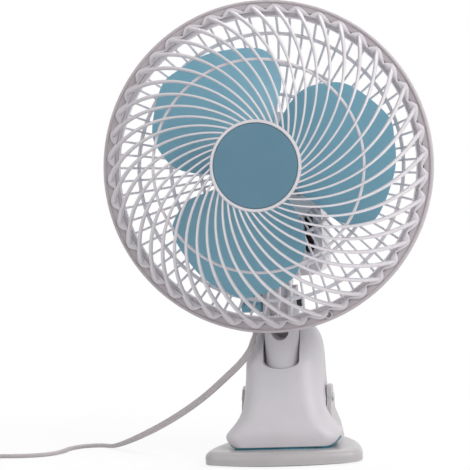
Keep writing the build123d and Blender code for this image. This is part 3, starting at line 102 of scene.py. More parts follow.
class ClipFanSizes(PropertyGroup):
    """Counts and sizes of the fan's visible pieces."""

    front_ribs: IntProperty(name="Front ribs", description="Curved ribs in front", default=44, min=8)
    rear_ribs: IntProperty(name="Rear ribs", description="Straight ribs behind", default=69, min=8)
    rib_depth: millimetres("Rib depth", "Fore-and-aft depth of a front rib", 3.2)
    rib_inner_width: millimetres("Rib width at the badge", "A front rib's width along the circle there", 1.6)
    rib_middle_width: millimetres("Rib width halfway", "A front rib's width along the circle there", 1.8)
    rib_outer_width: millimetres("Rib width at the rim", "A front rib's width along the circle there", 3.1)
    rear_rib_width: millimetres("Rear rib width", "Width of a rear rib", 1.6)
    petal_thickness: millimetres("Petal thickness", "Greatest thickness of a fan petal", 1.8)
    badge_crown: millimetres("Badge crown", "Rise of the badge's middle over its edge", 0.4)
    cord_width: millimetres("Cord width", "Width of the flat two-core cord", 4.6)
    cord_thickness: millimetres("Cord thickness", "Thickness of the flat two-core cord", 2.7)
    spring_wire: millimetres("Spring wire", "Wire diameter of the clip's spring", 1.8)


class ClipFanColours(PropertyGroup):
    """Colours that the fan's finishes are made of."""

    white: colour("White plastic", "Grilles and pod", (0.67, 0.635, 0.66))
    blue: colour("Blue plastic", "Fan blade and knob", (0.195, 0.415, 0.52))
    badge: colour("Badge blue", "Badge in the front grille's middle", (0.098, 0.208, 0.28))
    # Painted shade: a greyer copy of the white for the rim's plate under the lobes, standing in for the
    # shade there
    rim: colour("Rim plastic", "Front grille's rim, behind the scalloped edge", (0.50, 0.455, 0.475))
    clip: colour("Clip plastic", "Neck and upper jaw", (0.60, 0.57, 0.595))
    # Painted shade: a darker copy of the white plastic for the lower jaw and its foot, standing in for the
    # shade on them
    foot: colour("Foot plastic", "Lower jaw with its foot", (0.47, 0.445, 0.45))
    teal: colour("Teal rubber", "Pads of the jaws", (0.085, 0.24, 0.30))
    dark: colour("Dark plastic", "Switch and blade nut", (0.012, 0.012, 0.014))
    cord: colour("Cord", "Cord, plug and strain relief", (0.48, 0.44, 0.45))
    steel: colour("Steel", "Screws, pin, spring and plate", (0.56, 0.57, 0.58))
    bronze: colour("Bronze", "Bushes of the motor shaft", (0.42, 0.25, 0.10))
    tape: colour("Winding tape", "Tape round the motor's winding", (0.58, 0.45, 0.10))


# ---- Surfaces --------------------------------------------------------------------------------


def corners_of(node):
    """A solid's lowest and highest corners at rest, in millimetres."""
    return [np.array(corner) * 1000 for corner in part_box(node)]


def polar(radius, degrees):
    """The flat point (r cos a, r sin a) at a radius and an angle in degrees."""
    angle = math.radians(degrees)
    return np.array((radius * math.cos(angle), radius * math.sin(angle)))


def unit(vectors):
    """Each vector over its own length."""
    return vectors / np.linalg.norm(vectors, axis=-1, keepdims=True)


def smooth_step(low, high, values):
    """t t (3 - 2 t), where t runs from 0 to 1 between two values."""
    t = np.clip((values - low) / (high - low), 0, 1)
    return t * t * (3 - 2 * t)


def round_centre(centre, start, end, count, sense, beyond=0.0):
    """Points round a centre: the angle runs evenly from start to end, and past both by a share."""
    first = math.atan2(*(start - centre)[::-1])
    last = math.atan2(*(end - centre)[::-1])
    span = ((last - first) * sense) % (2 * math.pi) * sense
    angle = first + span * np.linspace(-beyond, 1 + beyond, count)
    return centre + math.dist(start, centre) * np.stack([np.cos(angle), np.sin(angle)], -1)


def arc_through(start, middle, end, count, beyond=0.0):
    """The arc through three flat points, whose centre is equally far from all of them."""
    start, middle, end = (np.array(point, float) for point in (start, middle, end))
    sides = 2 * np.array([middle - start, end - start])
    centre = np.linalg.solve(sides, [middle @ middle - start @ start, end @ end - start @ start])
    sense = np.sign(np.linalg.det(np.array([middle - start, end - middle])))
    return round_centre(centre, start, end, count, sense, beyond)


def tangent_arc(start, way, end, count):
    """The arc that leaves a point along a way and ends at another: its centre lies square to the way."""
    start, end = np.array(start, float), np.array(end, float)
    square = np.array([-way[1], way[0]])
    chord = end - start
    centre = start + square * (chord @ chord) / (2 * chord @ square)
    return round_centre(centre, start, end, count, np.sign(chord @ square))


def eased(corners, reach, closed=False, steps=5):
    """Rounded corners: each is the curve (1-t)^2 before + 2t(1-t) corner + t^2 after, between its sides."""
    points = np.array(corners, float)

    def toward(others):
        way = others - points
        length = np.maximum(np.linalg.norm(way, axis=1, keepdims=True), 1e-9)
        return (points + way * np.minimum(reach / length, 0.48))[:, None]

    t = np.linspace(0, 1, steps)[None, :, None]
    curve = (1 - t) ** 2 * toward(np.roll(points, 1, 0))
    curve = curve + 2 * t * (1 - t) * points[:, None] + t * t * toward(np.roll(points, -1, 0))
    if not closed:
        curve[0] = points[0]
        curve[-1] = points[-1]
    return curve.reshape(-1, points.shape[1])


def through(places, values, at):
    """A smooth curve through values: cubic pieces whose end slopes are the mean slopes beside each place."""
    places, values = np.array(places, float), np.array(values, float)
    slopes = np.gradient(values, places)
    index = np.clip(np.searchsorted(places, at) - 1, 0, len(places) - 2)
    run = places[index + 1] - places[index]
    t = (at - places[index]) / run
    low, high = values[index], values[index + 1]
    rise = high - low
    start, end = slopes[index] * run, slopes[index + 1] * run
    return low + t * start + t * t * (3 * rise - 2 * start - end) + t**3 * (start + end - 2 * rise)


def humps(values, start, pitch):
    """The humps of a sine wave that starts at a value and repeats by the pitch: its hollows are 0."""
    return np.clip(np.sin((values - start) * 2 * math.pi / pitch), 0, 1)


def oval(count, power=2.0):
    """A unit superellipse: cos a and sin a, each raised to 2 over the power with its sign kept."""
    angle = np.linspace(0, 2 * math.pi, count, endpoint=False)
    waves = np.stack([np.cos(angle), np.sin(angle)], -1)
    return np.sign(waves) * np.abs(waves) ** (2 / power)


def carried(lines, across, up, section):
    """A section carried along lines: line + s across + t up, for each pair (s, t) of the section."""
    sideways = across[..., None, :] * section[..., 0:1]
    upright = up[..., None, :] * section[..., 1:2]
    return lines[..., None, :] + sideways + upright


def revolved(profile, count, origin=(0, 0, FAN_HEIGHT), along=Y_AXIS, side=X_AXIS):
    """Pairs (a, r) turned round an axis: origin + a along + r (side cos b + (side x along) sin b)."""
    profile = np.array(profile, float)
    along = unit(along)
    angle = np.linspace(0, 2 * math.pi, count, endpoint=False)[:, None, None]
    spoke = side * np.cos(angle) + np.cross(side, along) * np.sin(angle)
    return np.array(origin) + profile[None, :, :1] * along + profile[None, :, 1:] * spoke


def on_cage(radius, angle, depth):
    """A point of the cage from its radius, its angle seen from the front and its depth along Y."""
    radius, angle, depth = np.broadcast_arrays(radius, angle, depth)
    return np.stack([radius * np.cos(angle), depth, FAN_HEIGHT + radius * np.sin(angle)], -1)


def spin(points, count, offset=0.0):
    """Copies of points at even turns round the fan's axis, counted as seen from the front."""
    angle = offset + np.arange(count) * 2 * math.pi / count
    cos, sin = np.cos(angle), np.sin(angle)
    x, y, z = points[..., 0], points[..., 1], points[..., 2] - FAN_HEIGHT
    shape = (count,) + (1,) * x.ndim
    cos, sin = cos.reshape(shape), sin.reshape(shape)
    depth = np.broadcast_to(y, (count, *y.shape))
    return np.stack([x * cos - z * sin, depth, FAN_HEIGHT + x * sin + z * cos], -1)


def grid_faces(rows, columns, loop_rows, loop_columns):
    """The four-sided faces of a grid of points; a looped direction joins its last line to its first."""
    first_rows = np.arange(rows if loop_rows else rows - 1)
    first_columns = np.arange(columns if loop_columns else columns - 1)
    row, column = np.meshgrid(first_rows, first_columns, indexing="ij")
    next_row, next_column = (row + 1) % rows, (column + 1) % columns
    corners = [(row, column), (next_row, column), (next_row, next_column), (row, next_column)]
    return np.stack([r * columns + c for r, c in corners], -1).reshape(-1, 4)


class Skin:
    """Gathers grids of points in millimetres and makes one closed mesh of them."""

    def __init__(self):
        self.points = []
        self.faces = []
        self.count = 0

    def grid(self, points, loop_rows=False, loop_columns=True):
        """Adds grids of shape (..., rows, columns, 3). Open rows of looped columns get two end faces."""
        rows, columns = points.shape[-3:-1]
        batch = points.reshape(-1, rows * columns, 3)
        faces = grid_faces(rows, columns, loop_rows, loop_columns)
        caps = []
        if loop_columns and not loop_rows:
            caps = [np.arange(columns)[::-1], (rows - 1) * columns + np.arange(columns)]
        for number in range(len(batch)):
            start = self.count + number * rows * columns
            self.faces.extend((faces + start).tolist())
            self.faces.extend((cap + start).tolist() for cap in caps)
        self.points.append(batch.reshape(-1, 3))
        self.count += batch.size // 3
        return self

    def object(self, name, sharp=40.0):
        """The mesh object in metres: doubles merged, faces outwards, smooth up to the sharp angle."""
        mesh = bpy.data.meshes.new(name)
        mesh.from_pydata((np.concatenate(self.points) / 1000).tolist(), [], self.faces)
        work = bmesh.new()
        work.from_mesh(mesh)
        bmesh.ops.remove_doubles(work, verts=work.verts, dist=1e-6)
        bmesh.ops.recalc_face_normals(work, faces=work.faces)
        work.to_mesh(mesh)
        work.free()
        mesh.shade_smooth()
        mesh.set_sharp_from_angle(angle=math.radians(sharp))
        made = bpy.data.objects.new(name, mesh)
        bpy.context.scene.collection.objects.link(made)
        return made


def finish_piece(piece, finish, body, slot, *nodes):
    """Gives a piece its finish and its body, and hides the solids that it stands for. The record's slot is
    not used.
    """
    piece.data.materials.clear()
    piece.data.materials.append(made_finish(finish))
    if body:
        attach(piece, body)
    if nodes:
        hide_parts(*nodes)
    return piece


def dress(finish, *nodes):
    """Gives solids that stay in view a finish."""
    for name in nodes:
        slots = frame["nodes"][name].data.materials
        slots.clear()
        slots.append(made_finish(finish))


# ---- Finishes --------------------------------------------------------------------------------


class Wire:
    """An output of a node, whose sums and products with numbers or other outputs add Math nodes."""

    def __init__(self, finish, output):
        self.finish = finish
        self.output = output

    def maths(self, operation, first, second=0.0):
        """The output of a Math node on two values."""
        return self.finish.node("ShaderNodeMath", {"operation": operation}, {0: first, 1: second})

    def __add__(self, other):
        return self.maths("ADD", self, other)

    def __radd__(self, other):
        return self.maths("ADD", other, self)

    def __mul__(self, other):
        return self.maths("MULTIPLY", self, other)

    def __rmul__(self, other):
        return self.maths("MULTIPLY", other, self)


class Finish:
    """A material or a world under construction, whose patterns read Object coordinates in metres."""

    def __init__(self, name, kind="materials"):
        self.holder = getattr(bpy.data, kind).new(name)
        self.holder.use_nodes = True
        self.tree = self.holder.node_tree
        self.tree.nodes.clear()

    def node(self, kind, settings=None, inputs=None, output=0):
        """Adds a node: its settings first, then the values or links of its sockets."""
        made = self.tree.nodes.new(kind)
        for key, value in (settings or {}).items():
            setattr(made, key, value)
        for key, value in (inputs or {}).items():
            if isinstance(value, Wire):
                self.tree.links.new(value.output, made.inputs[key])
            else:
                made.inputs[key].default_value = value
        return Wire(self, made.outputs[output]) if len(made.outputs) else made

    def place(self, stretch=(1.0, 1.0, 1.0)):
        """Object coordinates, stretched by a Mapping node."""
        spot = self.node("ShaderNodeTexCoord", output="Object")
        return self.node("ShaderNodeMapping", None, {"Vector": spot, "Scale": stretch})

    def noise(self, scale, detail=2.0, roughness=0.5, stretch=(1.0, 1.0, 1.0)):
        """A noise from 0 to 1 at a scale of features per metre."""
        sockets = {"Vector": self.place(stretch), "Scale": scale, "Detail": detail, "Roughness": roughness}
        return self.node("ShaderNodeTexNoise", None, sockets)

    def mix(self, factor, first, second):
        """A colour between two colours."""
        sockets = {0: factor, 6: first, 7: second}
        return self.node("ShaderNodeMix", {"data_type": "RGBA"}, sockets, 2)

    def ramp(self, value, low, high):
        """0 below one value, 1 above another, and a straight rise between them."""
        sockets = {"Value": value, "From Min": low, "From Max": high}
        return self.node("ShaderNodeMapRange", {"clamp": True}, sockets)

    def bump(self, height, distance):
        """A normal bent by a height, whose full range is the distance in metres."""
        return self.node("ShaderNodeBump", None, {"Height": height, "Distance": distance, "Strength": 1.0})

    def surface(self, **sockets):
        """The surface shader with its sockets, wired to the output."""
        named = {key.replace("_", " "): value for key, value in sockets.items()}
        shader = self.node("ShaderNodeBsdfPrincipled", None, named)
        self.node("ShaderNodeOutputMaterial", None, {"Surface": shader})
        return self.holder

    def seen_straight(self):
        """1 for a ray from the camera, or one that a gloss or a clear piece sends on, and else 0."""
        rays = ("Camera", "Glossy", "Transmission")
        camera, gloss, clear = (self.node("ShaderNodeLightPath", output=f"Is {ray} Ray") for ray in rays)
        either = camera.maths("MAXIMUM", camera, gloss)
        return either.maths("MAXIMUM", either, clear)


def shade(rgb, factor):
    """A colour with each channel multiplied, as four numbers."""
    return (*(min(1.0, channel * factor) for channel in rgb), 1.0)


# Share of the light that passes a little way into the white plastic, and how far, in metres
GLOW = 0.12
GLOW_REACH = (0.006, 0.005, 0.005)
# Depths in metres between which the rim turns from the lobes' white to the plate's grey, which is painted
# shade
RIM_PAINTED_SHADE_DEPTHS = (-0.0379, -0.0373)
SHEET_GREY = (0.16, 0.16, 0.17)
SOLE_GREY = (0.05, 0.05, 0.055)
TIE_BLACK = (0.012, 0.012, 0.013)


def moulding(finish, tint, roughness, peel, glow):
    """Glossy moulding with a fine grain and a slow ripple. The tint makes a colour of its drifting tone."""
    drift = finish.noise(26.0, 3.0)
    grain = finish.noise(1400.0, 2.0)
    ripple = finish.noise(170.0, 3.0)
    return finish.surface(
        Base_Color=tint(finish.ramp(drift * 0.8 + grain * 0.2, 0.3, 0.7)),
        Roughness=grain * 0.10 + ripple * 0.10 + (roughness - 0.10),
        Normal=finish.bump(ripple * 0.7 + grain * 0.3, peel),
        Subsurface_Weight=glow,
        Subsurface_Radius=GLOW_REACH,
        Subsurface_Scale=0.5,
    )


def moulded_plastic(name, rgb, roughness, peel=0.00004, warm=(1.0, 1.0, 1.0), glow=0.0):
    """A moulding of one colour, whose darker tones may be a little warmer or cooler."""
    finish = Finish(name)
    darker = [channel * other for channel, other in zip(rgb, warm)]

    def tint(tone):
        return finish.mix(tone, shade(darker, 0.94), shade(rgb, 1.03))

    return moulding(finish, tint, roughness, peel, glow)


def plastic_with_painted_shade_behind(name, rgb, behind):
    """A moulding that is greyer behind a depth along Y, where the rim lies under the lobes: painted shade on
    the rim's plate.
    """
    finish = Finish(name)
    depth = finish.node("ShaderNodeSeparateXYZ", None, {"Vector": finish.place()}, "Y")

    def tint(tone):
        front = finish.mix(tone, shade(rgb, 0.96), shade(rgb, 1.06))
        rear = finish.mix(tone, shade(behind, 0.92), shade(behind, 1.05))
        return finish.mix(finish.ramp(depth, *RIM_PAINTED_SHADE_DEPTHS), front, rear)

    return moulding(finish, tint, 0.34, 0.00003, GLOW)


def grained_rubber(name, rgb, ribs=0.0):
    """Matt rubber with a fine grain, paler where it is rubbed, and with moulded ribs across X if asked."""
    finish = Finish(name)
    grain = finish.noise(2600.0, 3.0, 0.65)
    rubbed = finish.noise(90.0, 4.0, 0.6)
    height = grain * 0.3
    if ribs:
        settings = {"wave_type": "BANDS", "bands_direction": "X"}
        sockets = {"Vector": finish.place(), "Scale": ribs}
        height = height + finish.node("ShaderNodeTexWave", settings, sockets, "Fac")
    return finish.surface(
        Base_Color=finish.mix(finish.ramp(rubbed, 0.42, 0.72), shade(rgb, 0.9), shade(rgb, 1.5)),
        Roughness=grain * 0.15 + 0.68,
        Normal=finish.bump(height, 0.00025),
        Specular_IOR_Level=0.35,
    )


def drawn_steel(name, rgb, stretch=(1.0, 1.0, 14.0), roughness=0.28):
    """Plated steel with fine drawn lines, and dulled in patches."""
    finish = Finish(name)
    lines = finish.noise(900.0, 3.0, 0.6, stretch)
    patches = finish.noise(160.0, 4.0, 0.6)
    return finish.surface(
        Base_Color=finish.mix(finish.ramp(patches, 0.35, 0.7), shade(rgb, 0.82), shade(rgb, 1.12)),
        Metallic=1.0,
        Roughness=lines * 0.18 + patches * 0.12 + (roughness - 0.12),
        Normal=finish.bump(lines, 0.00002),
    )


def stacked_sheets(name, rgb):
    """Punched sheet stack: half-millimetre sheets along Y, with faint varnish and rust tones."""
    finish = Finish(name)
    settings = {"wave_type": "BANDS", "bands_direction": "Y"}
    sheets = finish.node("ShaderNodeTexWave", settings, {"Vector": finish.place(), "Scale": 320.0}, "Fac")
    stain = finish.noise(120.0, 4.0, 0.6)
    rusty = (rgb[0] * 1.3, rgb[1] * 0.95, rgb[2] * 0.7, 1.0)
    return finish.surface(
        Base_Color=finish.mix(finish.ramp(stain, 0.4, 0.75), shade(rgb, 1.0), rusty),
        Metallic=0.8,
        Roughness=stain * 0.2 + sheets * 0.15 + 0.3,
        Normal=finish.bump(sheets, 0.00012),
    )


def winding_tape(name, rgb):
    """Glossy winding tape: overlapping laps across X, with darker varnish between them."""
    finish = Finish(name)
    settings = {"wave_type": "BANDS", "bands_direction": "X", "wave_profile": "SAW"}
    sockets = {"Vector": finish.place(), "Scale": 38.0, "Distortion": 0.6}
    laps = finish.node("ShaderNodeTexWave", settings, sockets, "Fac")
    stain = finish.noise(300.0, 4.0, 0.6)
    tone = finish.ramp(laps * 0.6 + stain * 0.4, 0.2, 0.7)
    return finish.surface(
        Base_Color=finish.mix(tone, shade(rgb, 0.6), shade(rgb, 1.1)),
        Roughness=stain * 0.2 + 0.25,
        Normal=finish.bump(laps, 0.0002),
    )


def flexible_vinyl(name, rgb, roughness=0.42):
    """Soft cord vinyl: slightly uneven gloss, faint scuffs and a soft waviness."""
    finish = Finish(name)
    scuffs = finish.noise(700.0, 4.0, 0.7)
    wave = finish.noise(120.0, 2.0)
    tone = finish.ramp(scuffs * 0.5 + wave * 0.5, 0.35, 0.65)
    return finish.surface(
        Base_Color=finish.mix(tone, shade(rgb, 0.95), shade(rgb, 1.04)),
        Roughness=scuffs * 0.16 + (roughness - 0.08),
        Normal=finish.bump(wave * 0.8 + scuffs * 0.2, 0.00008),
        Subsurface_Weight=0.1,
        Subsurface_Radius=(0.003, 0.003, 0.003),
        Subsurface_Scale=0.4,
    )


def made_finish(name):
    """A named finish, made once from the scene's colours."""
    found = bpy.data.materials.get(name)
    if found:
        return found
    tones = bpy.context.scene.clip_fan_colours
    # Painted light: the pod gets a lighter copy of the white plastic, standing in for light on it where it
    # lies in the cage's shade
    pod_lightened_rgb = shade(tones.white, 1.12)[:3]
    # Painted light: the rear grille gets a still lighter copy of the white plastic, standing in for light on
    # its ribs in the cage's shade
    rear_lightened_rgb = shade(tones.white, 1.3)[:3]
    # Painted shade: the grille screw gets a darker copy of the plated steel, standing in for the shade in
    # its boss's recess
    dull_painted_shade_rgb = shade(tones.steel, 0.3)[:3]
    makers = {
        "pod_white": lambda: moulded_plastic(name, pod_lightened_rgb, 0.34, 0.00003, glow=GLOW),
        "cage_white": lambda: plastic_with_painted_shade_behind(name, tones.white, tones.rim),
        "rear_white": lambda: moulded_plastic(name, rear_lightened_rgb, 0.34, 0.00003, glow=GLOW),
        "clip_white": lambda: moulded_plastic(name, tones.clip, 0.45, warm=(0.99, 1.0, 1.0), glow=GLOW),
        "foot_white": lambda: moulded_plastic(name, tones.foot, 0.32, warm=(0.99, 1.0, 1.0), glow=GLOW),
        "petal_blue": lambda: moulded_plastic(name, tones.blue, 0.38, warm=(0.94, 1.0, 1.02)),
        "badge_blue": lambda: moulded_plastic(name, tones.badge, 0.42, 0.00005, (0.95, 1.0, 1.0)),
        "switch_black": lambda: moulded_plastic(name, tones.dark, 0.40, 0.00003),
        "pad_teal": lambda: grained_rubber(name, tones.teal, 75.0),
        "sole_grey": lambda: grained_rubber(name, SOLE_GREY, 60.0),
        "plated_steel": lambda: drawn_steel(name, tones.steel),
        "dull_steel": lambda: drawn_steel(name, dull_painted_shade_rgb, roughness=0.45),
        "wire_steel": lambda: drawn_steel(name, tones.steel, (14.0, 1.0, 1.0), 0.24),
        "motor_sheets": lambda: stacked_sheets(name, SHEET_GREY),
        "motor_tape": lambda: winding_tape(name, tones.tape),
        "bush_bronze": lambda: drawn_steel(name, tones.bronze, (1.0, 6.0, 1.0), 0.38),
        "cord_white": lambda: flexible_vinyl(name, tones.cord),
        "tie_black": lambda: flexible_vinyl(name, TIE_BLACK, 0.5),
    }
    return makers[name]()


# ---- Cage ------------------------------------------------------------------------------------

# Radii from the fan's axis and depths along Y, in millimetres: first those that the solids' corners give
CAGE_LOW, CAGE_HIGH = corners_of("front_grille")
REAR_LOW, REAR_HIGH = corners_of("rear_grille")
BADGE_LOW, BADGE_HIGH = corners_of("grille_badge")
CAGE_RADIUS, CAGE_FRONT, SKIRT_END = CAGE_HIGH[0], CAGE_LOW[1], CAGE_HIGH[1]
REAR_RADIUS, REAR_FRONT, REAR_BACK = REAR_HIGH[0], REAR_LOW[1], REAR_HIGH[1]
BADGE_RADIUS, BADGE_FRONT, BADGE_BACK = BADGE_HIGH[0], BADGE_LOW[1], BADGE_HIGH[1]
CAGE_WALL = 1.8
RIM_FRONT = -36.5
RIM_PLATE = 2.0
RIM_WIDTH = 6.0
SEAT_RADIUS = BADGE_RADIUS + 0.15
SEAT_FLOOR = 2.0
SEAT_WALL = 1.7

# The front face's crown: how far it lies behind the cage's front, and at which radius
CROWN = ((0.4, SEAT_RADIUS), (1.0, 45.0), (3.7, 60.0))
SHOULDER_INSET = 3.5

# Radii at which a front rib's arc and widths are set, and its angle at each
RIB_RADII = (28.9, 66.6, 104.8)
RIB_TURNS = (99.2, 134.0, 157.7)
RIB_OVERRUN = 0.015
RIB_END_DEPTH = 0.8
RIB_SQUARENESS = 2.7

# The lobes on the rim: a ring's inner radius, and the foot and height of the wave that is its outer one
LOBE_INNER = 99.9
LOBE_FOOT = 101.3
LOBE_HEIGHT = 3.9
# The wave's lean, its fullness, where in it the rib ends and how many degrees before that end
LOBE_LEAN = 1.45
LOBE_FULLNESS = 0.85
LOBE_CREST = 0.62
LOBE_LEAD = 0.4
LOBE_STEPS = 18
# A lobe's section from the inner edge forwards and back: the share of the way out, and the depth
LOBE_SECTION = (
    (0.0, -35.2),
    (0.0, -37.5),
    (0.12, -37.9),
    (0.5, -38.1),
    (0.88, -37.9),
    (1.0, -37.5),
    (1.0, -35.2),
)

SUPPORT_RADIUS = 67.0
SUPPORT_SIZE = 1.8
SUPPORT_FRONT = -71.2

# Hooks inside the skirt: a section of radius and depth, swung a few degrees each way about an angle
HOOK_COUNT = 3
HOOK_ANGLE = 22.0
HOOK_SWING = 2.7
HOOK_SECTION = ((104.4, -32.0), (106.4, -32.0), (106.4, -30.4), (105.0, -30.4))

# The grille screw's radius and angle, and its boss
GRILLE_SCREW = (103.8, -69.6)
BOSS_RADIUS = 2.8
BOSS_RISE = 1.2
BOSS_DEPTH = 3.7
SCREW_ROOM = (1.9, 1.6)

# The rear grille's rings as radius and depth, and where its ribs start and end
REAR_RINGS = ((49.0, -4.0), (68.5, -7.0), (88.0, -18.0))
REAR_RIB_START = (34.0, -3.2)
REAR_RIB_END = (99.0, -32.6)
REAR_SHELL = 2.4
REAR_PLATE_RADII = (12.15, 37.5)
REAR_RIM_WIDTH = 8.6
REAR_RIM_PLATE = 2.2


def cage_face():
    """The front face as (depth, radius): a flat arc over the middle, then one tangent to it to the rim."""
    crown = arc_through(*((CAGE_FRONT + behind, radius) for behind, radius in CROWN), 24)
    shoulder = tangent_arc(crown[-1], crown[-1] - crown[-2], (RIM_FRONT, CAGE_RADIUS - SHOULDER_INSET), 48)
    return np.vstack([crown, shoulder[1:]])


def cage_normal(radius, angle, face):
    """The way straight out of the face: the slope of depth over radius along the spoke, and one forwards."""
    slope = np.interp(radius, face[:, 1], np.gradient(face[:, 0], face[:, 1]))
    slope, angle = np.broadcast_arrays(slope, angle)
    return unit(np.stack([slope * np.cos(angle), -np.ones_like(slope), slope * np.sin(angle)], -1))


def front_ribs(count, widths, depth):
    """Curved ribs: an arc seen from the front, laid on the face, with a rounded section carried along it."""
    face = cage_face()
    flat = arc_through(*(polar(*place) for place in zip(RIB_RADII, RIB_TURNS)), 44, RIB_OVERRUN)
    radius = np.hypot(flat[:, 0], flat[:, 1])
    angle = np.arctan2(flat[:, 1], flat[:, 0])
    line = on_cage(radius, angle, np.interp(radius, face[:, 1], face[:, 0]))
    out = cage_normal(radius, angle, face)
    way = unit(np.gradient(line, axis=0))
    across = unit(np.cross(way, out))
    spoke = np.stack([np.cos(angle), np.zeros_like(angle), np.sin(angle)], -1)
    outward = unit(spoke - out * np.sum(spoke * out, -1, keepdims=True))
    # The widths are measured along the circle, which a rib crosses at a slant
    along_circle = np.interp(radius, RIB_RADII, widths)
    half_width = along_circle * np.abs(np.sum(way * outward, -1)) / 2
    half_depth = np.interp(radius, RIB_RADII, (depth, depth, depth * RIB_END_DEPTH)) / 2
    section = oval(12, RIB_SQUARENESS) * np.stack([half_width, half_depth], -1)[:, None, :]
    return spin(carried(line - out * half_depth[:, None], across, out, section), count)


def lobes(count):
    """The lobes in which the ribs end: a ring whose outer radius is a leaning wave, one crest a rib."""
    angle = np.linspace(0, 2 * math.pi, count * LOBE_STEPS, endpoint=False)
    crest = math.radians(RIB_TURNS[-1] - LOBE_LEAD)
    phase = ((angle - crest) * count / (2 * math.pi) + LOBE_CREST) % 1.0
    outer = LOBE_FOOT + LOBE_HEIGHT * np.sin(math.pi * phase**LOBE_LEAN) ** LOBE_FULLNESS
    share, depth = np.array(LOBE_SECTION).T
    radius = LOBE_INNER + (outer - LOBE_INNER)[:, None] * share
    return on_cage(radius, angle[:, None], depth)


def ring(depths, radii, rounding, count):
    """A ring round the fan's axis: a rectangle between two depths and two radii, with rounded corners."""
    (front, back), (inner, outer) = depths, radii
    section = [(front, inner), (front, outer), (back, outer), (back, inner)]
    return revolved(eased(section, rounding, True), count)


class CLIPFAN_OT_front_grille(Operator):
    """Builds the front grille: ribs with their lobes, the badge's seat, the support ring, rim and skirt."""

    bl_idname = "clip_fan.front_grille"
    bl_label = "Front grille"

    def execute(self, context):
        sizes = context.scene.clip_fan_sizes
        widths = np.array((sizes.rib_inner_width, sizes.rib_middle_width, sizes.rib_outer_width)) * 1000
        skin = Skin()
        skin.grid(front_ribs(sizes.front_ribs, widths, sizes.rib_depth * 1000))
        skin.grid(lobes(sizes.front_ribs), loop_rows=True)
        skin.grid(revolved(eased(self.seat(), 0.5), 128), loop_rows=True, loop_columns=False)
        skin.grid(revolved(eased(self.rim(), 0.5, True), 192), loop_rows=True)
        half = SUPPORT_SIZE / 2
        support_depths = (SUPPORT_FRONT, SUPPORT_FRONT + SUPPORT_SIZE)
        support_radii = (SUPPORT_RADIUS - half, SUPPORT_RADIUS + half)
        skin.grid(ring(support_depths, support_radii, 0.6, 160), loop_rows=True)
        skin.grid(self.hooks())
        skin.grid(self.screw_boss(), loop_rows=True, loop_columns=False)
        piece = skin.object("cage_front")
        # The rim's plate behind the lobes gets painted shade
        finish_piece(piece, "cage_white", "head", "white_plastic", "front_grille")
        return {"FINISHED"}

    def seat(self):
        """The badge's seat as (depth, radius): a floor behind a low wall whose front edge is chamfered."""
        outer = RIB_RADII[0]
        chamfer_depth, chamfer_width = 0.4, 0.5
        wall_end = CAGE_FRONT + 3.6
        back = BADGE_BACK + SEAT_FLOOR
        return [
            (BADGE_BACK, 0.0),
            (BADGE_BACK, SEAT_RADIUS),
            (CAGE_FRONT, SEAT_RADIUS),
            (CAGE_FRONT, outer - chamfer_width),
            (CAGE_FRONT + chamfer_depth, outer),
            (wall_end, outer),
            (back, SEAT_RADIUS + SEAT_WALL),
            (back, 0.0),
        ]

    def rim(self):
        """The rim as (depth, radius): a plate under the lobes, a raised bead outside them, and the skirt."""
        face = RIM_FRONT + 0.2
        bead = RIM_FRONT - 0.7
        edge = 0.5
        inner = CAGE_RADIUS - RIM_WIDTH
        skirt = CAGE_RADIUS - CAGE_WALL
        back = RIM_FRONT + RIM_PLATE
        return [
            (face, inner),
            (face, skirt - edge),
            (bead, skirt),
            (bead, CAGE_RADIUS - edge),
            (face + 0.1, CAGE_RADIUS),
            (SKIRT_END, CAGE_RADIUS),
            (SKIRT_END, skirt),
            (back, skirt),
            (back, inner),
        ]

    def hooks(self):
        """Hooks that hold the rear grille: their section swung round the fan's axis."""
        radius, depth = np.array(HOOK_SECTION).T
        swing = np.radians(HOOK_ANGLE + np.linspace(-HOOK_SWING, HOOK_SWING, 6))[:, None]
        return spin(on_cage(radius[None], swing, depth[None]), HOOK_COUNT)

    def screw_boss(self):
        """Boss of the grille screw: a post with room for the screw's head in its front."""
        across, rise = polar(*GRILLE_SCREW)
        room_radius, room_depth = SCREW_ROOM
        front = RIM_FRONT - BOSS_RISE
        back = front + BOSS_DEPTH
        outside = [(back, 0.0), (back, BOSS_RADIUS), (front, BOSS_RADIUS)]
        inside = [(front, room_radius), (front + room_depth, room_radius), (front + room_depth, 0.0)]
        return revolved(eased(outside + inside, 0.4), 24, (across, 0.0, FAN_HEIGHT + rise))


def rear_ribs(count, width):
    """Straight ribs: a spoke on a smooth curve through the rings, with a rounded section along it."""
    radii, depths = zip(REAR_RIB_START, *REAR_RINGS, REAR_RIB_END)
    radius = np.linspace(radii[0], radii[-1], 40)
    line = on_cage(radius, np.zeros_like(radius), through(radii, depths, radius))
    way = unit(np.gradient(line, axis=0))
    section = oval(10, 3.0) * np.array((width / 2, REAR_SHELL / 2))
    return spin(carried(line, Z_AXIS, np.cross(way, Z_AXIS), section[None]), count)


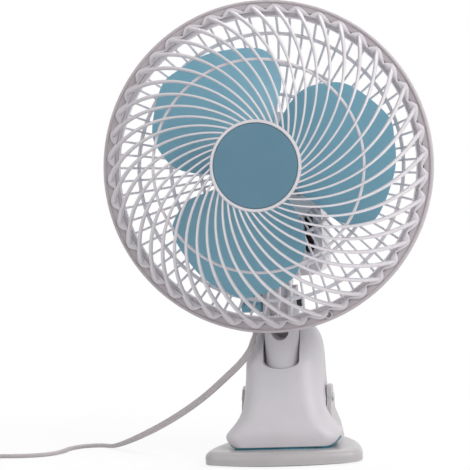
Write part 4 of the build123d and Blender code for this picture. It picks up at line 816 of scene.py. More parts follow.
class CLIPFAN_OT_rear_grille(Operator):
    """Builds the rear grille: straight ribs over a stepped bowl, rings, the middle plate and the rim."""

    bl_idname = "clip_fan.rear_grille"
    bl_label = "Rear grille"

    def execute(self, context):
        sizes = context.scene.clip_fan_sizes
        skin = Skin()
        skin.grid(rear_ribs(sizes.rear_ribs, sizes.rear_rib_width * 1000))
        half = REAR_SHELL / 2
        for radius, depth in REAR_RINGS:
            band = ring((depth - half, depth + half), (radius - half, radius + half), 0.8, 144)
            skin.grid(band, loop_rows=True)
        plate = ring((REAR_BACK - REAR_SHELL, REAR_BACK), REAR_PLATE_RADII, 0.6, 96)
        skin.grid(plate, loop_rows=True)
        skin.grid(revolved(eased(self.rim(), 0.7, True), 192), loop_rows=True)
        piece = skin.object("cage_rear")
        # The rear grille gets the lighter white, which is painted light
        finish_piece(piece, "rear_white", "head", "white_plastic", "rear_grille")
        return {"FINISHED"}

    def rim(self):
        """The rim as (depth, radius): a plate inside the front rim, with a lip at its inner edge."""
        back = REAR_FRONT + REAR_RIM_PLATE
        lip = REAR_FRONT - 0.75
        inner = REAR_RADIUS - REAR_RIM_WIDTH
        plate = [(REAR_FRONT, inner + 1.3), (REAR_FRONT, REAR_RADIUS), (back, REAR_RADIUS), (back, inner)]
        return plate + [(lip, inner), (lip, inner + 1.0)]


class CLIPFAN_OT_badge(Operator):
    """Builds the bare round badge in the front grille's middle."""

    bl_idname = "clip_fan.badge"
    bl_label = "Badge"

    def execute(self, context):
        crown = context.scene.clip_fan_sizes.badge_crown * 1000
        bevel, face_inset = 1.4, 1.8
        rear_edge = [(BADGE_BACK, 0.0), (BADGE_BACK, BADGE_RADIUS)]
        front_edge = [(BADGE_FRONT, BADGE_RADIUS), (BADGE_FRONT, BADGE_RADIUS - bevel)]
        # The face rises towards its middle by the crown times 1 - (r / R)^2
        radius = np.linspace(BADGE_RADIUS - face_inset, 0.0, 12)
        face = np.stack([BADGE_FRONT - crown * (1 - (radius / BADGE_RADIUS) ** 2), radius], -1)
        profile = np.vstack([eased(rear_edge + front_edge, 0.7), face])
        piece = Skin().grid(revolved(profile, 128), loop_rows=True, loop_columns=False).object("badge_disc")
        finish_piece(piece, "badge_blue", "head", "blue_plastic", "grille_badge")
        return {"FINISHED"}


# ---- Fan blade -------------------------------------------------------------------------------

BLADE_COUNT = 3
BLADE_DEPTH = -38.0
# Where the first petal points, in degrees from the right
PETAL_HEADING = 11.5
# A petal's outline: out along its middle and across it, towards the edge that trails
PETAL_OUTLINE = (
    (14.5, -19.5),
    (23.5, -30.0),
    (34.0, -44.5),
    (47.0, -51.5),
    (61.4, -48.8),
    (79.5, -24.5),
    (85.2, -3.3),
    (84.6, 12.5),
    (67.4, 35.4),
    (51.3, 41.1),
    (35.2, 39.2),
    (18.2, 25.0),
    (8.0, 6.0),
    (8.0, -8.0),
)
PETAL_MIDDLE = (48.0, -4.0)
# How far out along a petal, and its slope in depth there for each millimetre across
PETAL_SLOPES = ((8.0, 0.55), (35.0, 0.42), (55.0, 0.33), (75.0, 0.26), (95.0, 0.22))
PETAL_CAMBER = 1.6
PETAL_EDGE = 0.30
PETAL_RINGS = 22
PETAL_ROOT_RADIUS = 19.2

HUB_RADIUS = 20.0
HUB_WALL = 2.2
HUB_FRONT = -50.0
HUB_BACK = -26.0
HUB_BOSS_RADIUS = 5.5
SHAFT_RADIUS = 2.5


def petals(thickness):
    """Petals: middle + s (outline - middle) seen from the front, deeper by slope times the way across."""
    corners = np.array(PETAL_OUTLINE + PETAL_OUTLINE[:3])
    even = np.linspace(1, len(PETAL_OUTLINE) + 1, 160, endpoint=False)
    outline = np.stack([through(np.arange(len(corners)), values, even) for values in corners.T], -1)
    middle = np.array(PETAL_MIDDLE)
    # s runs out to the edge over the front side and back to the middle over the rear side
    share = np.sin(np.linspace(0, math.pi / 2, PETAL_RINGS))
    share = np.concatenate([share, share[-2::-1]])
    side = np.concatenate([-np.ones(PETAL_RINGS), np.ones(PETAL_RINGS - 1)])
    flat = middle + share[None, :, None] * (outline[:, None] - middle)
    out, across = flat[..., 0], flat[..., 1]
    slope = np.interp(out, *np.array(PETAL_SLOPES).T)
    half = thickness / 2 * (PETAL_EDGE + (1 - PETAL_EDGE) * np.sqrt(np.clip(1 - share**6, 0, 1)))
    half = np.where(share > 0.9999, 0.0, half)
    camber = PETAL_CAMBER * (1 - share**2)
    depth = BLADE_DEPTH - slope * across + camber[None] + (side * half)[None]
    radius = np.maximum(np.hypot(out, across), PETAL_ROOT_RADIUS)
    angle = np.arctan2(across, out)
    return spin(on_cage(radius, angle, depth), BLADE_COUNT, math.radians(PETAL_HEADING))


class CLIPFAN_OT_blade(Operator):
    """Builds the three-petal blade with its hub, and dresses its nut and the shaft."""

    bl_idname = "clip_fan.blade"
    bl_label = "Fan blade"

    def execute(self, context):
        thickness = context.scene.clip_fan_sizes.petal_thickness * 1000
        skin = Skin().grid(petals(thickness), loop_rows=True, loop_columns=False)
        skin.grid(revolved(eased(self.hub(), 1.6, True), 96), loop_rows=True)
        piece = skin.object("blade_petals")
        finish_piece(piece, "petal_blue", "blade", "blue_plastic", "fan_blade")
        dress("switch_black", "blade_nut")
        dress("wire_steel", "motor_shaft")
        return {"FINISHED"}

    def hub(self):
        """The hub as (depth, radius): a cup open to the rear, with a crowned front and a boss inside."""
        inner = HUB_RADIUS - HUB_WALL
        floor = HUB_FRONT + HUB_WALL
        boss_back = HUB_BACK - 0.5
        outside = [
            (HUB_FRONT, SHAFT_RADIUS),
            (HUB_FRONT - 0.6, 9.0),
            (HUB_FRONT, 16.0),
            (HUB_FRONT + 2.0, HUB_RADIUS),
            (HUB_BACK, HUB_RADIUS),
        ]
        inside = [
            (HUB_BACK, inner),
            (floor + 1.0, inner),
            (floor, 14.0),
            (floor, HUB_BOSS_RADIUS),
            (boss_back, HUB_BOSS_RADIUS),
            (boss_back, SHAFT_RADIUS),
        ]
        return outside + inside


# ---- Motor, pod and switch -------------------------------------------------------------------

# The winding: half its thickness, its bulge, and how far its middle line lies inside its box in Y and Z
WINDING_HALF = 3.0
WINDING_BULGE = 0.7
WINDING_INSET = (3.2, 3.6)


class CLIPFAN_OT_motor(Operator):
    """Builds the motor's wound coil and dresses the core, rotor, brackets, bushes and screws."""

    bl_idname = "clip_fan.motor"
    bl_label = "Motor"

    def execute(self, context):
        piece = Skin().grid(self.winding(), loop_rows=True).object("coil_winding")
        finish_piece(piece, "motor_tape", "head", "coil_tape", "motor_coil")
        dress("motor_sheets", "stator_core", "rotor")
        dress("plated_steel", "front_bracket", "rear_bracket", "motor_screws")
        dress("bush_bronze", "front_bush", "rear_bush")
        return {"FINISHED"}

    def winding(self):
        """Winding: a section, thicker by a cosine in its middle, carried round a loop seen from the side."""
        low, high = corners_of("motor_coil")
        middle = (low + high) / 2
        half = (high - low) / 2
        loop = oval(64, 5.0) * (half[1:] - WINDING_INSET)
        centre = np.column_stack([np.zeros(len(loop)), loop]) + middle
        section = oval(28, 4.0) * (half[0], 1.0)
        section[:, 1] *= WINDING_HALF + WINDING_BULGE * np.cos(section[:, 0] / half[0] * math.pi / 2)
        return carried(centre, X_AXIS, unit(centre - middle), section[None])


class CLIPFAN_OT_pod(Operator):
    """Dresses the motor pod, the tilt bracket, their screws and the rocker switch."""

    bl_idname = "clip_fan.pod"
    bl_label = "Motor pod"

    def execute(self, context):
        # The pod and its bracket get the lighter white, which is painted light
        dress("pod_white", "motor_front_cover", "motor_housing", "tilt_bracket")
        dress("plated_steel", "grille_mount_screws", "bracket_screws", "housing_screw")
        # The grille screw gets the darker steel, which is painted shade
        dress("dull_steel", "grille_screw")
        dress("switch_black", "switch_body", "switch_rocker")
        return {"FINISHED"}


# ---- Neck and knob ---------------------------------------------------------------------------

KNOB_RADIUS = 6.6
KNOB_BORE_RADIUS = 3.4
KNOB_HOLLOW = 0.8
KNOB_FLUTES = 8
# A flute's depth as a share of the radius, how wide its wave is, and where it fades in along the knob
FLUTE_DEPTH = 0.17
FLUTE_LIFT = 0.1
FLUTE_POWER = 1.3
FLUTE_START = (2.2, 3.8)


class CLIPFAN_OT_neck(Operator):
    """Builds the fluted tilt knob and dresses the neck, its bolt, nut, washer and screw."""

    bl_idname = "clip_fan.neck"
    bl_label = "Neck and knob"

    def execute(self, context):
        piece = Skin().grid(self.knob(), loop_rows=True, loop_columns=False).object("knob_fluted")
        finish_piece(piece, "petal_blue", "tilt_knob", "blue_plastic", "tilt_knob")
        dress("clip_white", "neck_yoke")
        dress("switch_black", "lock_nut")
        dress("plated_steel", "swivel_washer", "swivel_screw")
        dress("wire_steel", "tilt_bolt")
        return {"FINISHED"}

    def knob(self):
        """Knob: a cup turned round the tilt axis, whose radius falls by narrow waves past its flange."""
        low, high = corners_of("tilt_knob")
        length = high[0] - low[0]
        outside = [(0.0, 0.0), (0.0, KNOB_RADIUS), (length, KNOB_RADIUS)]
        inside = [(length, KNOB_BORE_RADIUS), (length - KNOB_HOLLOW, 0.0)]
        profile = eased(outside + inside, 1.5, steps=8)
        grid = revolved(profile, 160, (high[0], 0.0, TILT_HEIGHT), -X_AXIS, Z_AXIS)
        angle = np.linspace(0, 2 * math.pi, len(grid), endpoint=False)
        wave = np.clip(np.cos(KNOB_FLUTES * angle) - FLUTE_LIFT, 0, 1)[:, None] ** FLUTE_POWER
        fade = smooth_step(*FLUTE_START, profile[:, 0])[None]
        spokes = grid[..., 1:] - (0.0, TILT_HEIGHT)
        grid[..., 1:] -= spokes * (FLUTE_DEPTH * wave * fade)[..., None]
        return grid


# ---- Clip ------------------------------------------------------------------------------------

LOWER_PAD_CORNER = 9.0
LOWER_PAD_EDGE = 0.2

# The bell's lip seen from the front: its flat run's half-length and height, and the arc at its end
LIP_RUN = 28.0
LIP_HALF = 29.0
LIP_HEIGHT = 10.7
LIP_BEND = 10.0
LIP_TURN = 54.0
# Seen from above, the pad's front edge is straight and ends in a round corner about this place
LIP_CORNER = 12.0
LIP_CORNER_X = 25.5
LIP_CORNER_Y = -14.2
LIP_PAD_HALF = 0.5

# The torsion spring, and the ways of its legs and square to them
SPRING_RADIUS = 6.0
SPRING_TURNS = 13
SPRING_PITCH = 2.3
SPRING_UPPER_LEG = 26.5
SPRING_LOWER_LEG = 30.6
SPRING_WAY = (0.0, 0.6, -0.8)
SPRING_SIDE = (0.0, -0.8, -0.6)


def rounded_slab(low, high, corner, edge):
    """A slab in a box: a rounded rectangle seen from above, drawn in by the edge's radius at its faces."""
    (left, front, bottom), (right, rear, top) = low, high
    size = np.array((right - left, rear - front))
    middle = (front + rear) / 2
    plan = eased(np.array([(-1, -1), (1, -1), (1, 1), (-1, 1)]) * size / 2, corner, True, 10)
    rise = eased([(bottom, 1.0), (bottom, 0.0), (top, 0.0), (top, 1.0)], edge)
    scale = 1 - np.maximum(0.0, rise[:, 1:]) * 2 * edge / size
    rows = plan[:, None] * scale[None]
    height = np.broadcast_to(rise[None, :, 0], rows.shape[:2])
    outer = np.stack([rows[..., 0], rows[..., 1] + middle, height], -1)
    lowest = np.broadcast_to((0.0, middle, bottom), (len(plan), 1, 3))
    highest = np.broadcast_to((0.0, middle, top), (len(plan), 1, 3))
    return np.concatenate([lowest, outer, highest], 1)


class CLIPFAN_OT_clip(Operator):
    """Builds the rubber pads and the torsion spring, and dresses both jaws and what holds them together."""

    bl_idname = "clip_fan.clip"
    bl_label = "Spring clip"

    def execute(self, context):
        slab = rounded_slab(*corners_of("lower_pad"), LOWER_PAD_CORNER, LOWER_PAD_EDGE)
        piece = Skin().grid(slab, loop_rows=True, loop_columns=False).object("pad_lower", 50.0)
        finish_piece(piece, "pad_teal", "lower_jaw", "teal_rubber", "lower_pad")
        piece = Skin().grid(self.lip_pad()).object("pad_upper", 50.0)
        finish_piece(piece, "pad_teal", "upper_jaw", "teal_rubber", "upper_pad")
        piece = self.spring(context.scene.clip_fan_sizes.spring_wire * 1000)
        finish_piece(piece, "wire_steel", None, "steel", "clip_spring")
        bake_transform(piece)
        dress("clip_white", "upper_jaw", "upper_jaw_cover")
        # The lower jaw gets the darker white, which is painted shade
        dress("foot_white", "lower_jaw")
        dress("plated_steel", "base_plate", "base_screws", "cover_screws")
        dress("plated_steel", "hinge_pin", "pin_clip")
        dress("sole_grey", "foot_pad")
        return {"FINISHED"}

    def lip_pad(self):
        """Pad under the bell's lip: a strip along a straight line that turns up in an arc at each end."""
        turn = np.radians(np.linspace(0.0, LIP_TURN, 16))
        arc_x = LIP_HALF + LIP_BEND * np.sin(turn)
        arc_z = LIP_HEIGHT + LIP_BEND * (1 - np.cos(turn))
        run_x = np.linspace(0.0, LIP_RUN, 15)
        right = np.column_stack([np.append(run_x, arc_x), np.append(np.full(15, LIP_HEIGHT), arc_z)])
        flat = np.vstack([right[:0:-1] * (-1, 1), right])
        line = np.stack([flat[:, 0], np.zeros(len(flat)), flat[:, 1]], -1)
        past_corner = np.maximum(np.abs(line[:, 0]) - LIP_CORNER_X, 0.0)
        front = LIP_CORNER_Y - np.sqrt(LIP_CORNER**2 - past_corner**2)
        rear = corners_of("upper_pad")[1][1]
        line[:, 1] = (front + rear) / 2
        broad = Y_AXIS * ((rear - front) / 2)[:, None]
        along = np.gradient(line, axis=0) * (1, 0, 1)
        up = np.cross(unit(along), Y_AXIS) * LIP_PAD_HALF
        return carried(line, broad, up, oval(16, 5.0)[None])

    def spring(self, wire):
        """Torsion spring: a straight leg, turns that run on along X by the pitch, and a straight leg."""
        way, side = np.array(SPRING_WAY), np.array(SPRING_SIDE)
        turns = np.linspace(0, SPRING_TURNS, SPRING_TURNS * 20 + 1)[:, None]
        angle = 2 * math.pi * turns
        coil = HINGE + (side * np.cos(angle) + way * np.sin(angle)) * SPRING_RADIUS
        coil = coil + X_AXIS * SPRING_PITCH * (turns - SPRING_TURNS / 2)
        upper = coil[0] - unit(coil[1] - coil[0]) * np.linspace(SPRING_UPPER_LEG, 1.0, 14)[:, None]
        lower = coil[-1] + unit(coil[-1] - coil[-2]) * np.linspace(1.0, SPRING_LOWER_LEG, 14)[:, None]
        line = np.vstack([upper, coil, lower])
        along = unit(np.gradient(line, axis=0))
        out = unit((line - HINGE) * (0.0, 1.0, 1.0))
        across = unit(np.cross(along, out))
        section = oval(10)[None] * wire / 2
        return Skin().grid(carried(line, across, np.cross(across, along), section)).object("spring_wire")


# ---- Cord ------------------------------------------------------------------------------------

# The cord's route in metres: the solid's points, those on the floor lowered to the flat cord
CORD_ROUTE = (
    (-0.0152, 0.0050, 0.0880),
    (-0.0180, -0.0022, 0.0866),
    (-0.0180, -0.0078, 0.0788),
    (-0.0240, -0.0102, 0.0685),
    (-0.0375, -0.0045, 0.0568),
    (-0.0575, 0.0040, 0.0405),
    (-0.0835, 0.0210, 0.0245),
    (-0.1095, 0.0400, 0.0115),
    (-0.1340, 0.0585, 0.0016),
    (-0.1450, 0.0690, 0.0014),
    (-0.1590, 0.0675, 0.0014),
    (-0.1675, 0.0565, 0.0014),
    (-0.1685, 0.0425, 0.0014),
    (-0.1760, 0.0305, 0.0014),
    (-0.1920, 0.0265, 0.0014),
    (-0.2120, 0.0280, 0.0015),
    (-0.2280, 0.0290, 0.0020),
    (-0.2460, 0.0290, 0.0024),
)
RELIEF_START = (-0.0034, 0.0205, 0.0926)
LEAD_ROUTE = ((-0.2540, 0.0260, 0.0056), (-0.2680, 0.0256, 0.0088), (-0.2828, 0.0239, 0.0092))
# The put-away coil, in metres, with its turns inwards, its half turn up and its turns outwards on top
COIL_CENTRE = (-0.2460, -0.0102, 0.0024)
COIL_RADIUS = 0.0392
COIL_PITCH = 0.006
COIL_RISE = 0.0029
COIL_TURNS_IN = 4.0
COIL_TURNS_UP = 0.5
COIL_TURNS_OUT = 3.5
COIL_POINTS = 16
# The flat cord stands on edge at the clip and lies down between these lengths along it, in metres
EDGE_ON = 75.0
LYING_DOWN = (0.10, 0.20)
CORE_GROOVE = 0.24

# The strain relief, tie and plug, in millimetres
RELIEF_RADII = (3.1, 2.55)
RELIEF_GROOVE = 0.35
RELIEF_GROOVE_START = 3.0
RELIEF_GROOVE_PITCH = 2.3
RELIEF_FADE_IN = (2.5, 3.2)
RELIEF_FADE_OUT = (18.0, 19.0)
TIE_HALF = (12.2, 3.35)
TIE_CORNER = 2.6
TIE_BAND = (3.0, 0.4)
TIE_TO_SIDE = 25.7
# The tie's twist: how far back of its middle and above it that starts, and its advance for each radian
TIE_TWIST_START = (3.0, 4.3)
TIE_TWIST_RADIUS = 0.8
TIE_TWIST_TURNS = 3
TIE_TWIST_ADVANCE = 0.55
TIE_WIRE_RADIUS = 0.75
PLUG_START = (-282.0, 24.0, 9.2)
PLUG_WAY = (-18.0, -2.0, 0.0)
PLUG_LENGTH = 30.0
PLUG_NECK_HALF = (3.4, 3.2)
PLUG_SWELL = (8.6, 6.0)
PLUG_SHOULDER = (4.0, 15.0)
PLUG_ROUND = 1.6
# Ridges between two places along the plug, and rings up to one near the cord
PLUG_RIDGES = (14.0, 25.5)
PLUG_RIDGE_DEPTH = 0.45
PLUG_RIDGE_PITCH = 2.4
PLUG_RINGS_END = 6.0
PLUG_RING_DEPTH = 0.3
PLUG_RING_PITCH = 2.2


def coil_turns():
    """The coil's control points: turns inwards, part of a turn up, then turns outwards on top."""
    # The spline cuts the corners between its control points, so they stand a little farther out
    stand_out = 2 / (1 + math.cos(math.pi / COIL_POINTS))
    top_start = COIL_TURNS_IN + COIL_TURNS_UP
    points = []
    for step in range(1, int((top_start + COIL_TURNS_OUT) * COIL_POINTS) + 1):
        turn = step / COIL_POINTS
        wound = min(turn, COIL_TURNS_IN) - max(0.0, turn - top_start)
        radius = (COIL_RADIUS - COIL_PITCH * wound) * stand_out
        climb = COIL_RISE * min(max((turn - COIL_TURNS_IN) / COIL_TURNS_UP, 0.0), 1.0)
        angle = math.pi / 2 + 2 * math.pi * turn
        x = COIL_CENTRE[0] + radius * math.cos(angle)
        y = COIL_CENTRE[1] + radius * math.sin(angle)
        points.append((x, y, COIL_CENTRE[2] + climb))
    return points


def cord_line():
    """The points that the cord follows, read from one NURBS spline of order 3 through its control points."""
    control = [*CORD_ROUTE, *coil_turns(), *LEAD_ROUTE]
    curve = bpy.data.curves.new("cord_route", "CURVE")
    curve.dimensions = "3D"
    curve.resolution_u = 8
    spline = curve.splines.new("NURBS")
    spline.points.add(len(control) - 1)
    spline.points.foreach_set("co", np.hstack([control, np.ones((len(control), 1))]).ravel())
    spline.order_u = 3
    spline.use_endpoint_u = True
    holder = bpy.data.objects.new("cord_route", curve)
    bpy.context.scene.collection.objects.link(holder)
    bpy.context.view_layer.update()
    mesh = bpy.data.meshes.new_from_object(holder)
    line = np.zeros(len(mesh.vertices) * 3)
    mesh.vertices.foreach_get("co", line)
    bpy.data.meshes.remove(mesh)
    bpy.data.objects.remove(holder)
    return line.reshape(-1, 3)


def twin_section(width, thickness):
    """Two cores side by side: half the thickness, round past each core's middle, with a groove between."""
    half = thickness / 2
    core = width / 2 - half
    angle = np.linspace(0, 2 * math.pi, 24, endpoint=False)
    s = width / 2 * np.cos(angle)
    height = np.sqrt(np.maximum(half**2 - np.maximum(np.abs(s) - core, 0.0) ** 2, 0.0))
    groove = 1 - CORE_GROOVE * np.exp(-((s / (0.35 * core)) ** 2))
    return np.stack([s, np.sign(np.sin(angle)) * height * groove], -1)


class CLIPFAN_OT_cord(Operator):
    """Builds the flat cord along its route and coil, its strain relief, tie and plug."""

    bl_idname = "clip_fan.cord"
    bl_label = "Power cord"

    def execute(self, context):
        sizes = context.scene.clip_fan_sizes
        relief = self.relief()
        tie = self.tie()
        plug = self.plug()
        line = cord_line()
        cord = self.flex(line, sizes.cord_width * 1000, sizes.cord_thickness * 1000)
        nodes = ("power_cord", "cord_coil", "plug_lead")
        finish_piece(cord, "cord_white", None, "cord_vinyl", *nodes)
        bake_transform(cord)
        dress("plated_steel", "plug_pins")
        return {"FINISHED"}

    def flex(self, line, width, thickness):
        """Cord: the twin section carried along the line, edge-on at the clip and flat on the floor."""
        along = unit(np.gradient(line, axis=0))
        level = unit(np.cross(along, Z_AXIS))
        run = np.concatenate([[0.0], np.cumsum(np.linalg.norm(np.diff(line, axis=0), axis=1))])
        twist = np.radians(EDGE_ON) * (1 - smooth_step(*LYING_DOWN, run))[:, None]
        across = level * np.cos(twist) + np.cross(along, level) * np.sin(twist)
        section = twin_section(width, thickness)
        skin = Skin().grid(carried(line * 1000, across, np.cross(across, along), section[None]))
        return skin.object("cord_flex", 80.0)

    def relief(self):
        """Strain relief: a sleeve whose radius falls evenly to the cord's, with seven grooves round it."""
        start, end = np.array(RELIEF_START) * 1000, np.array(CORD_ROUTE[0]) * 1000
        length = math.dist(start, end)
        place = np.linspace(0, length, 90)
        wave = humps(place, RELIEF_GROOVE_START, RELIEF_GROOVE_PITCH)
        grooved = smooth_step(*RELIEF_FADE_IN, place) * (1 - smooth_step(*RELIEF_FADE_OUT, place))
        radius = np.interp(place, (0, length), RELIEF_RADII) - RELIEF_GROOVE * wave * grooved
        profile = np.vstack([[(0.0, 0.0)], np.stack([place, radius], -1), [(length, 0.0)]])
        grid = revolved(profile, 32, start, end - start, Z_AXIS)
        piece = Skin().grid(grid, loop_rows=True, loop_columns=False).object("relief_sleeve", 60.0)
        return finish_piece(piece, "cord_white", "upper_jaw", "cord_vinyl", "cord_relief")

    def tie(self):
        """Tie: a flat band carried round a rounded oblong that holds the coil's turns on the fan's side."""
        middle = np.array(COIL_CENTRE) * 1000 + (TIE_TO_SIDE, 0.0, COIL_RISE * 500)
        corners = np.array([(-1, -1), (1, -1), (1, 1), (-1, 1)]) * TIE_HALF
        flat = eased(corners, TIE_CORNER, True, 8)
        line = middle + np.stack([flat[:, 0], np.zeros(len(flat)), flat[:, 1]], -1)
        along = unit(np.roll(line, -1, 0) - np.roll(line, 1, 0))
        section = oval(12, 4.0) * TIE_BAND
        skin = Skin().grid(carried(line, Y_AXIS, np.cross(along, Y_AXIS), section[None]), loop_rows=True)
        # The two twisted ends stand on top as a short screw of wire
        turn = np.linspace(0, TIE_TWIST_TURNS * 2 * math.pi, 40)
        for phase in (0.0, math.pi):
            x = middle[0] + TIE_TWIST_RADIUS * np.cos(turn + phase)
            y = middle[1] + TIE_TWIST_START[0] + turn * TIE_TWIST_ADVANCE
            z = middle[2] + TIE_TWIST_START[1] + TIE_TWIST_RADIUS * np.sin(turn + phase)
            twist = np.stack([x, y, z], -1)
            way = unit(np.gradient(twist, axis=0))
            flatwise = unit(np.cross(way, Z_AXIS))
            wire = oval(8)[None] * TIE_WIRE_RADIUS
            skin.grid(carried(twist, flatwise, np.cross(flatwise, way), wire))
        piece = skin.object("tie_band")
        return finish_piece(piece, "tie_black", "lower_jaw", "tie_black", "cord_tie")

    def plug(self):
        """Plug: superellipse sections along its axis that widen to the body, with ridges on the flanks."""
        way = unit(np.array(PLUG_WAY))
        place = np.linspace(0.0, PLUG_LENGTH, 70)
        swell = smooth_step(*PLUG_SHOULDER, place)
        ridge_start, ridge_end = PLUG_RIDGES
        on_ridges = (place > ridge_start) * (place < ridge_end)
        ridges = PLUG_RIDGE_DEPTH * humps(place, ridge_start, PLUG_RIDGE_PITCH) * on_ridges
        rings = PLUG_RING_DEPTH * humps(place, 0.0, PLUG_RING_PITCH) * (place < PLUG_RINGS_END)
        # The far end is rounded by a quarter circle
        past_face = np.maximum(place - (PLUG_LENGTH - PLUG_ROUND), 0.0) / PLUG_ROUND
        ending = np.sqrt(np.clip(1 - past_face**2, 0, 1)) * PLUG_ROUND - PLUG_ROUND
        wide = PLUG_NECK_HALF[0] + PLUG_SWELL[0] * swell + ending - rings - ridges
        tall = PLUG_NECK_HALF[1] + PLUG_SWELL[1] * swell + ending - rings
        section = oval(48, 3.4) * np.stack([wide, tall], -1)[:, None]
        line = np.array(PLUG_START) + way * place[:, None]
        skin = Skin().grid(carried(line, np.cross(way, Z_AXIS), Z_AXIS, section))
        piece = skin.object("plug_moulding", 50.0)
        return finish_piece(piece, "cord_white", "lower_jaw", "cord_vinyl", "plug_body")


# ---- Stage -----------------------------------------------------------------------------------

# The camera's angles in degrees, its distance and target in metres, and its lens for a sensor of 36 mm
VIEW_AZIMUTH = 9.73
VIEW_PITCH = 1.093
VIEW_ROLL = 2.904
VIEW_DISTANCE = 1.100
VIEW_TARGET = (-0.0285, 0.0, 0.15110)
LENS = 125.2
SENSOR = 36.0

# The soft lamps: name, place and side length in metres, and power in watts
LAMPS = (
    ("key_lamp", (1.15, -1.0, 1.1), 1.1, 19.5),
    ("fill_lamp", (-1.2, -0.95, 0.7), 1.2, 4.0),
    ("top_lamp", (0.1, 0.55, 1.35), 1.0, 9.0),
)
LAMP_AIM = (0.0, 0.0, 0.15)
SURROUND_STRENGTH = 0.38
WHITE = (1.0, 1.0, 1.0, 1.0)
FLOOR_REACH = 6000.0
FLOOR_GLOW = 1.02
# The floor's white share near the fan and what it gains between two distances from it, in metres
FLOOR_WHITE = 0.82
FLOOR_FADE = (0.15, 0.75)


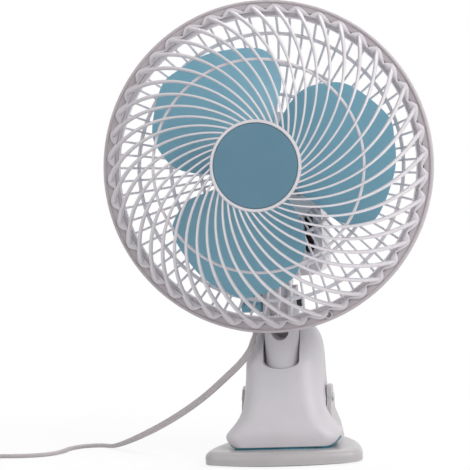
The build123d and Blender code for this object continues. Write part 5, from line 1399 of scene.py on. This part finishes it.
class CLIPFAN_OT_stage(Operator):
    """Sets the camera at the photograph's view, soft studio light, a white surround and a pale floor."""

    bl_idname = "clip_fan.stage"
    bl_label = "Stage"

    def execute(self, context):
        scene = context.scene
        scene.view_settings.view_transform = "Standard"
        self.camera(scene)
        for lamp in LAMPS:
            self.lamp(*lamp)
        self.surround(scene)
        self.floor()
        return {"FINISHED"}

    def camera(self, scene):
        """Camera at the target less its distance along the view, turned about the view by the roll."""
        azimuth, pitch, roll = math.radians(VIEW_AZIMUTH), math.radians(VIEW_PITCH), math.radians(VIEW_ROLL)
        level = Vector((-math.sin(azimuth), math.cos(azimuth), 0.0)) * math.cos(pitch)
        view = level - Vector((0.0, 0.0, math.sin(pitch)))
        right = Vector((math.cos(azimuth), math.sin(azimuth), 0.0))
        up = right.cross(view)
        x_axis = right * math.cos(roll) - up * math.sin(roll)
        y_axis = right * math.sin(roll) + up * math.cos(roll)
        data = bpy.data.cameras.new("photo_view")
        data.sensor_width = SENSOR
        data.lens = LENS
        made = bpy.data.objects.new("photo_view", data)
        turned = Matrix((x_axis, y_axis, -view)).transposed().to_4x4()
        made.matrix_world = Matrix.Translation(Vector(VIEW_TARGET) - view * VIEW_DISTANCE) @ turned
        scene.collection.objects.link(made)
        scene.camera = made

    def lamp(self, name, place, size, power):
        """A square soft lamp that faces the fan's middle."""
        data = bpy.data.lights.new(name, "AREA")
        data.size = size
        data.energy = power
        made = bpy.data.objects.new(name, data)
        aim = Vector(LAMP_AIM) - Vector(place)
        made.matrix_world = Matrix.Translation(place) @ aim.to_track_quat("-Z", "Y").to_matrix().to_4x4()
        bpy.context.scene.collection.objects.link(made)

    def surround(self, scene):
        """White where the camera, a gloss or a clear piece looks straight at it, and soft grey elsewhere."""
        finish = Finish("white_surround", "worlds")
        tint = (0.97, 0.98, 1.0, 1.0)
        soft = finish.node("ShaderNodeBackground", None, {"Color": tint, "Strength": SURROUND_STRENGTH})
        white = finish.node("ShaderNodeBackground", None, {"Color": WHITE, "Strength": 1.0})
        both = finish.node("ShaderNodeMixShader", None, {0: finish.seen_straight(), 1: soft, 2: white})
        finish.node("ShaderNodeOutputWorld", None, {"Surface": both})
        scene.world = finish.holder

    def floor(self):
        """A flat pale floor, which the camera sees nearly white, with the fan's soft shadow kept."""
        reach = np.linspace(-FLOOR_REACH, FLOOR_REACH, 5)
        x, y = np.meshgrid(reach, reach, indexing="ij")
        piece = Skin().grid(np.stack([x, y, np.zeros_like(x)], -1), loop_columns=False).object("pale_floor")
        finish = Finish("floor_white")
        tone = finish.mix(finish.noise(60.0, 3.0), (0.86, 0.86, 0.87, 1.0), (0.9, 0.9, 0.9, 1.0))
        paint = finish.node("ShaderNodeBsdfDiffuse", None, {"Color": tone})
        glow = finish.node("ShaderNodeEmission", None, {"Color": WHITE, "Strength": FLOOR_GLOW})
        # The shadow shows near the fan, and the floor fades to white with distance from it
        away = finish.node("ShaderNodeVectorMath", {"operation": "LENGTH"}, {0: finish.place()}, "Value")
        share = finish.ramp(away, *FLOOR_FADE) * (1 - FLOOR_WHITE) + FLOOR_WHITE
        seen = finish.seen_straight() * share
        both = finish.node("ShaderNodeMixShader", None, {0: seen, 1: paint, 2: glow})
        finish.node("ShaderNodeOutputMaterial", None, {"Surface": both})
        piece.data.materials.append(finish.holder)


# ---- Panel and registration ------------------------------------------------------------------

STEPS = (
    CLIPFAN_OT_stage,
    CLIPFAN_OT_cord,
    CLIPFAN_OT_front_grille,
    CLIPFAN_OT_rear_grille,
    CLIPFAN_OT_badge,
    CLIPFAN_OT_blade,
    CLIPFAN_OT_motor,
    CLIPFAN_OT_pod,
    CLIPFAN_OT_neck,
    CLIPFAN_OT_clip,
)


class CLIPFAN_PT_sidebar(Panel):
    """Lists the fan's pieces, its sizes and its colours."""

    bl_idname = "CLIPFAN_PT_sidebar"
    bl_label = "Clip Fan"
    bl_space_type = "VIEW_3D"
    bl_region_type = "UI"
    bl_category = "Clip Fan"

    def draw(self, context):
        column = self.layout.column()
        for step in STEPS:
            column.operator(step.bl_idname)
        for group in (context.scene.clip_fan_sizes, context.scene.clip_fan_colours):
            for name in group.__annotations__:
                column.prop(group, name)


CLASSES = (ClipFanSizes, ClipFanColours, *STEPS, CLIPFAN_PT_sidebar)


def register():
    """Registers the classes and hangs the sizes and colours on the scene."""
    for item in CLASSES:
        bpy.utils.register_class(item)
    bpy.types.Scene.clip_fan_sizes = PointerProperty(type=ClipFanSizes)
    bpy.types.Scene.clip_fan_colours = PointerProperty(type=ClipFanColours)


def unregister():
    """Takes back what register did, in the opposite order."""
    del bpy.types.Scene.clip_fan_colours
    del bpy.types.Scene.clip_fan_sizes
    for item in reversed(CLASSES):
        bpy.utils.unregister_class(item)


def main():
    """Registers the classes and builds every piece in order."""
    register()
    for step in STEPS:
        group, name = step.bl_idname.split(".")
        getattr(getattr(bpy.ops, group), name)()


if __name__ == "__main__":
    main()
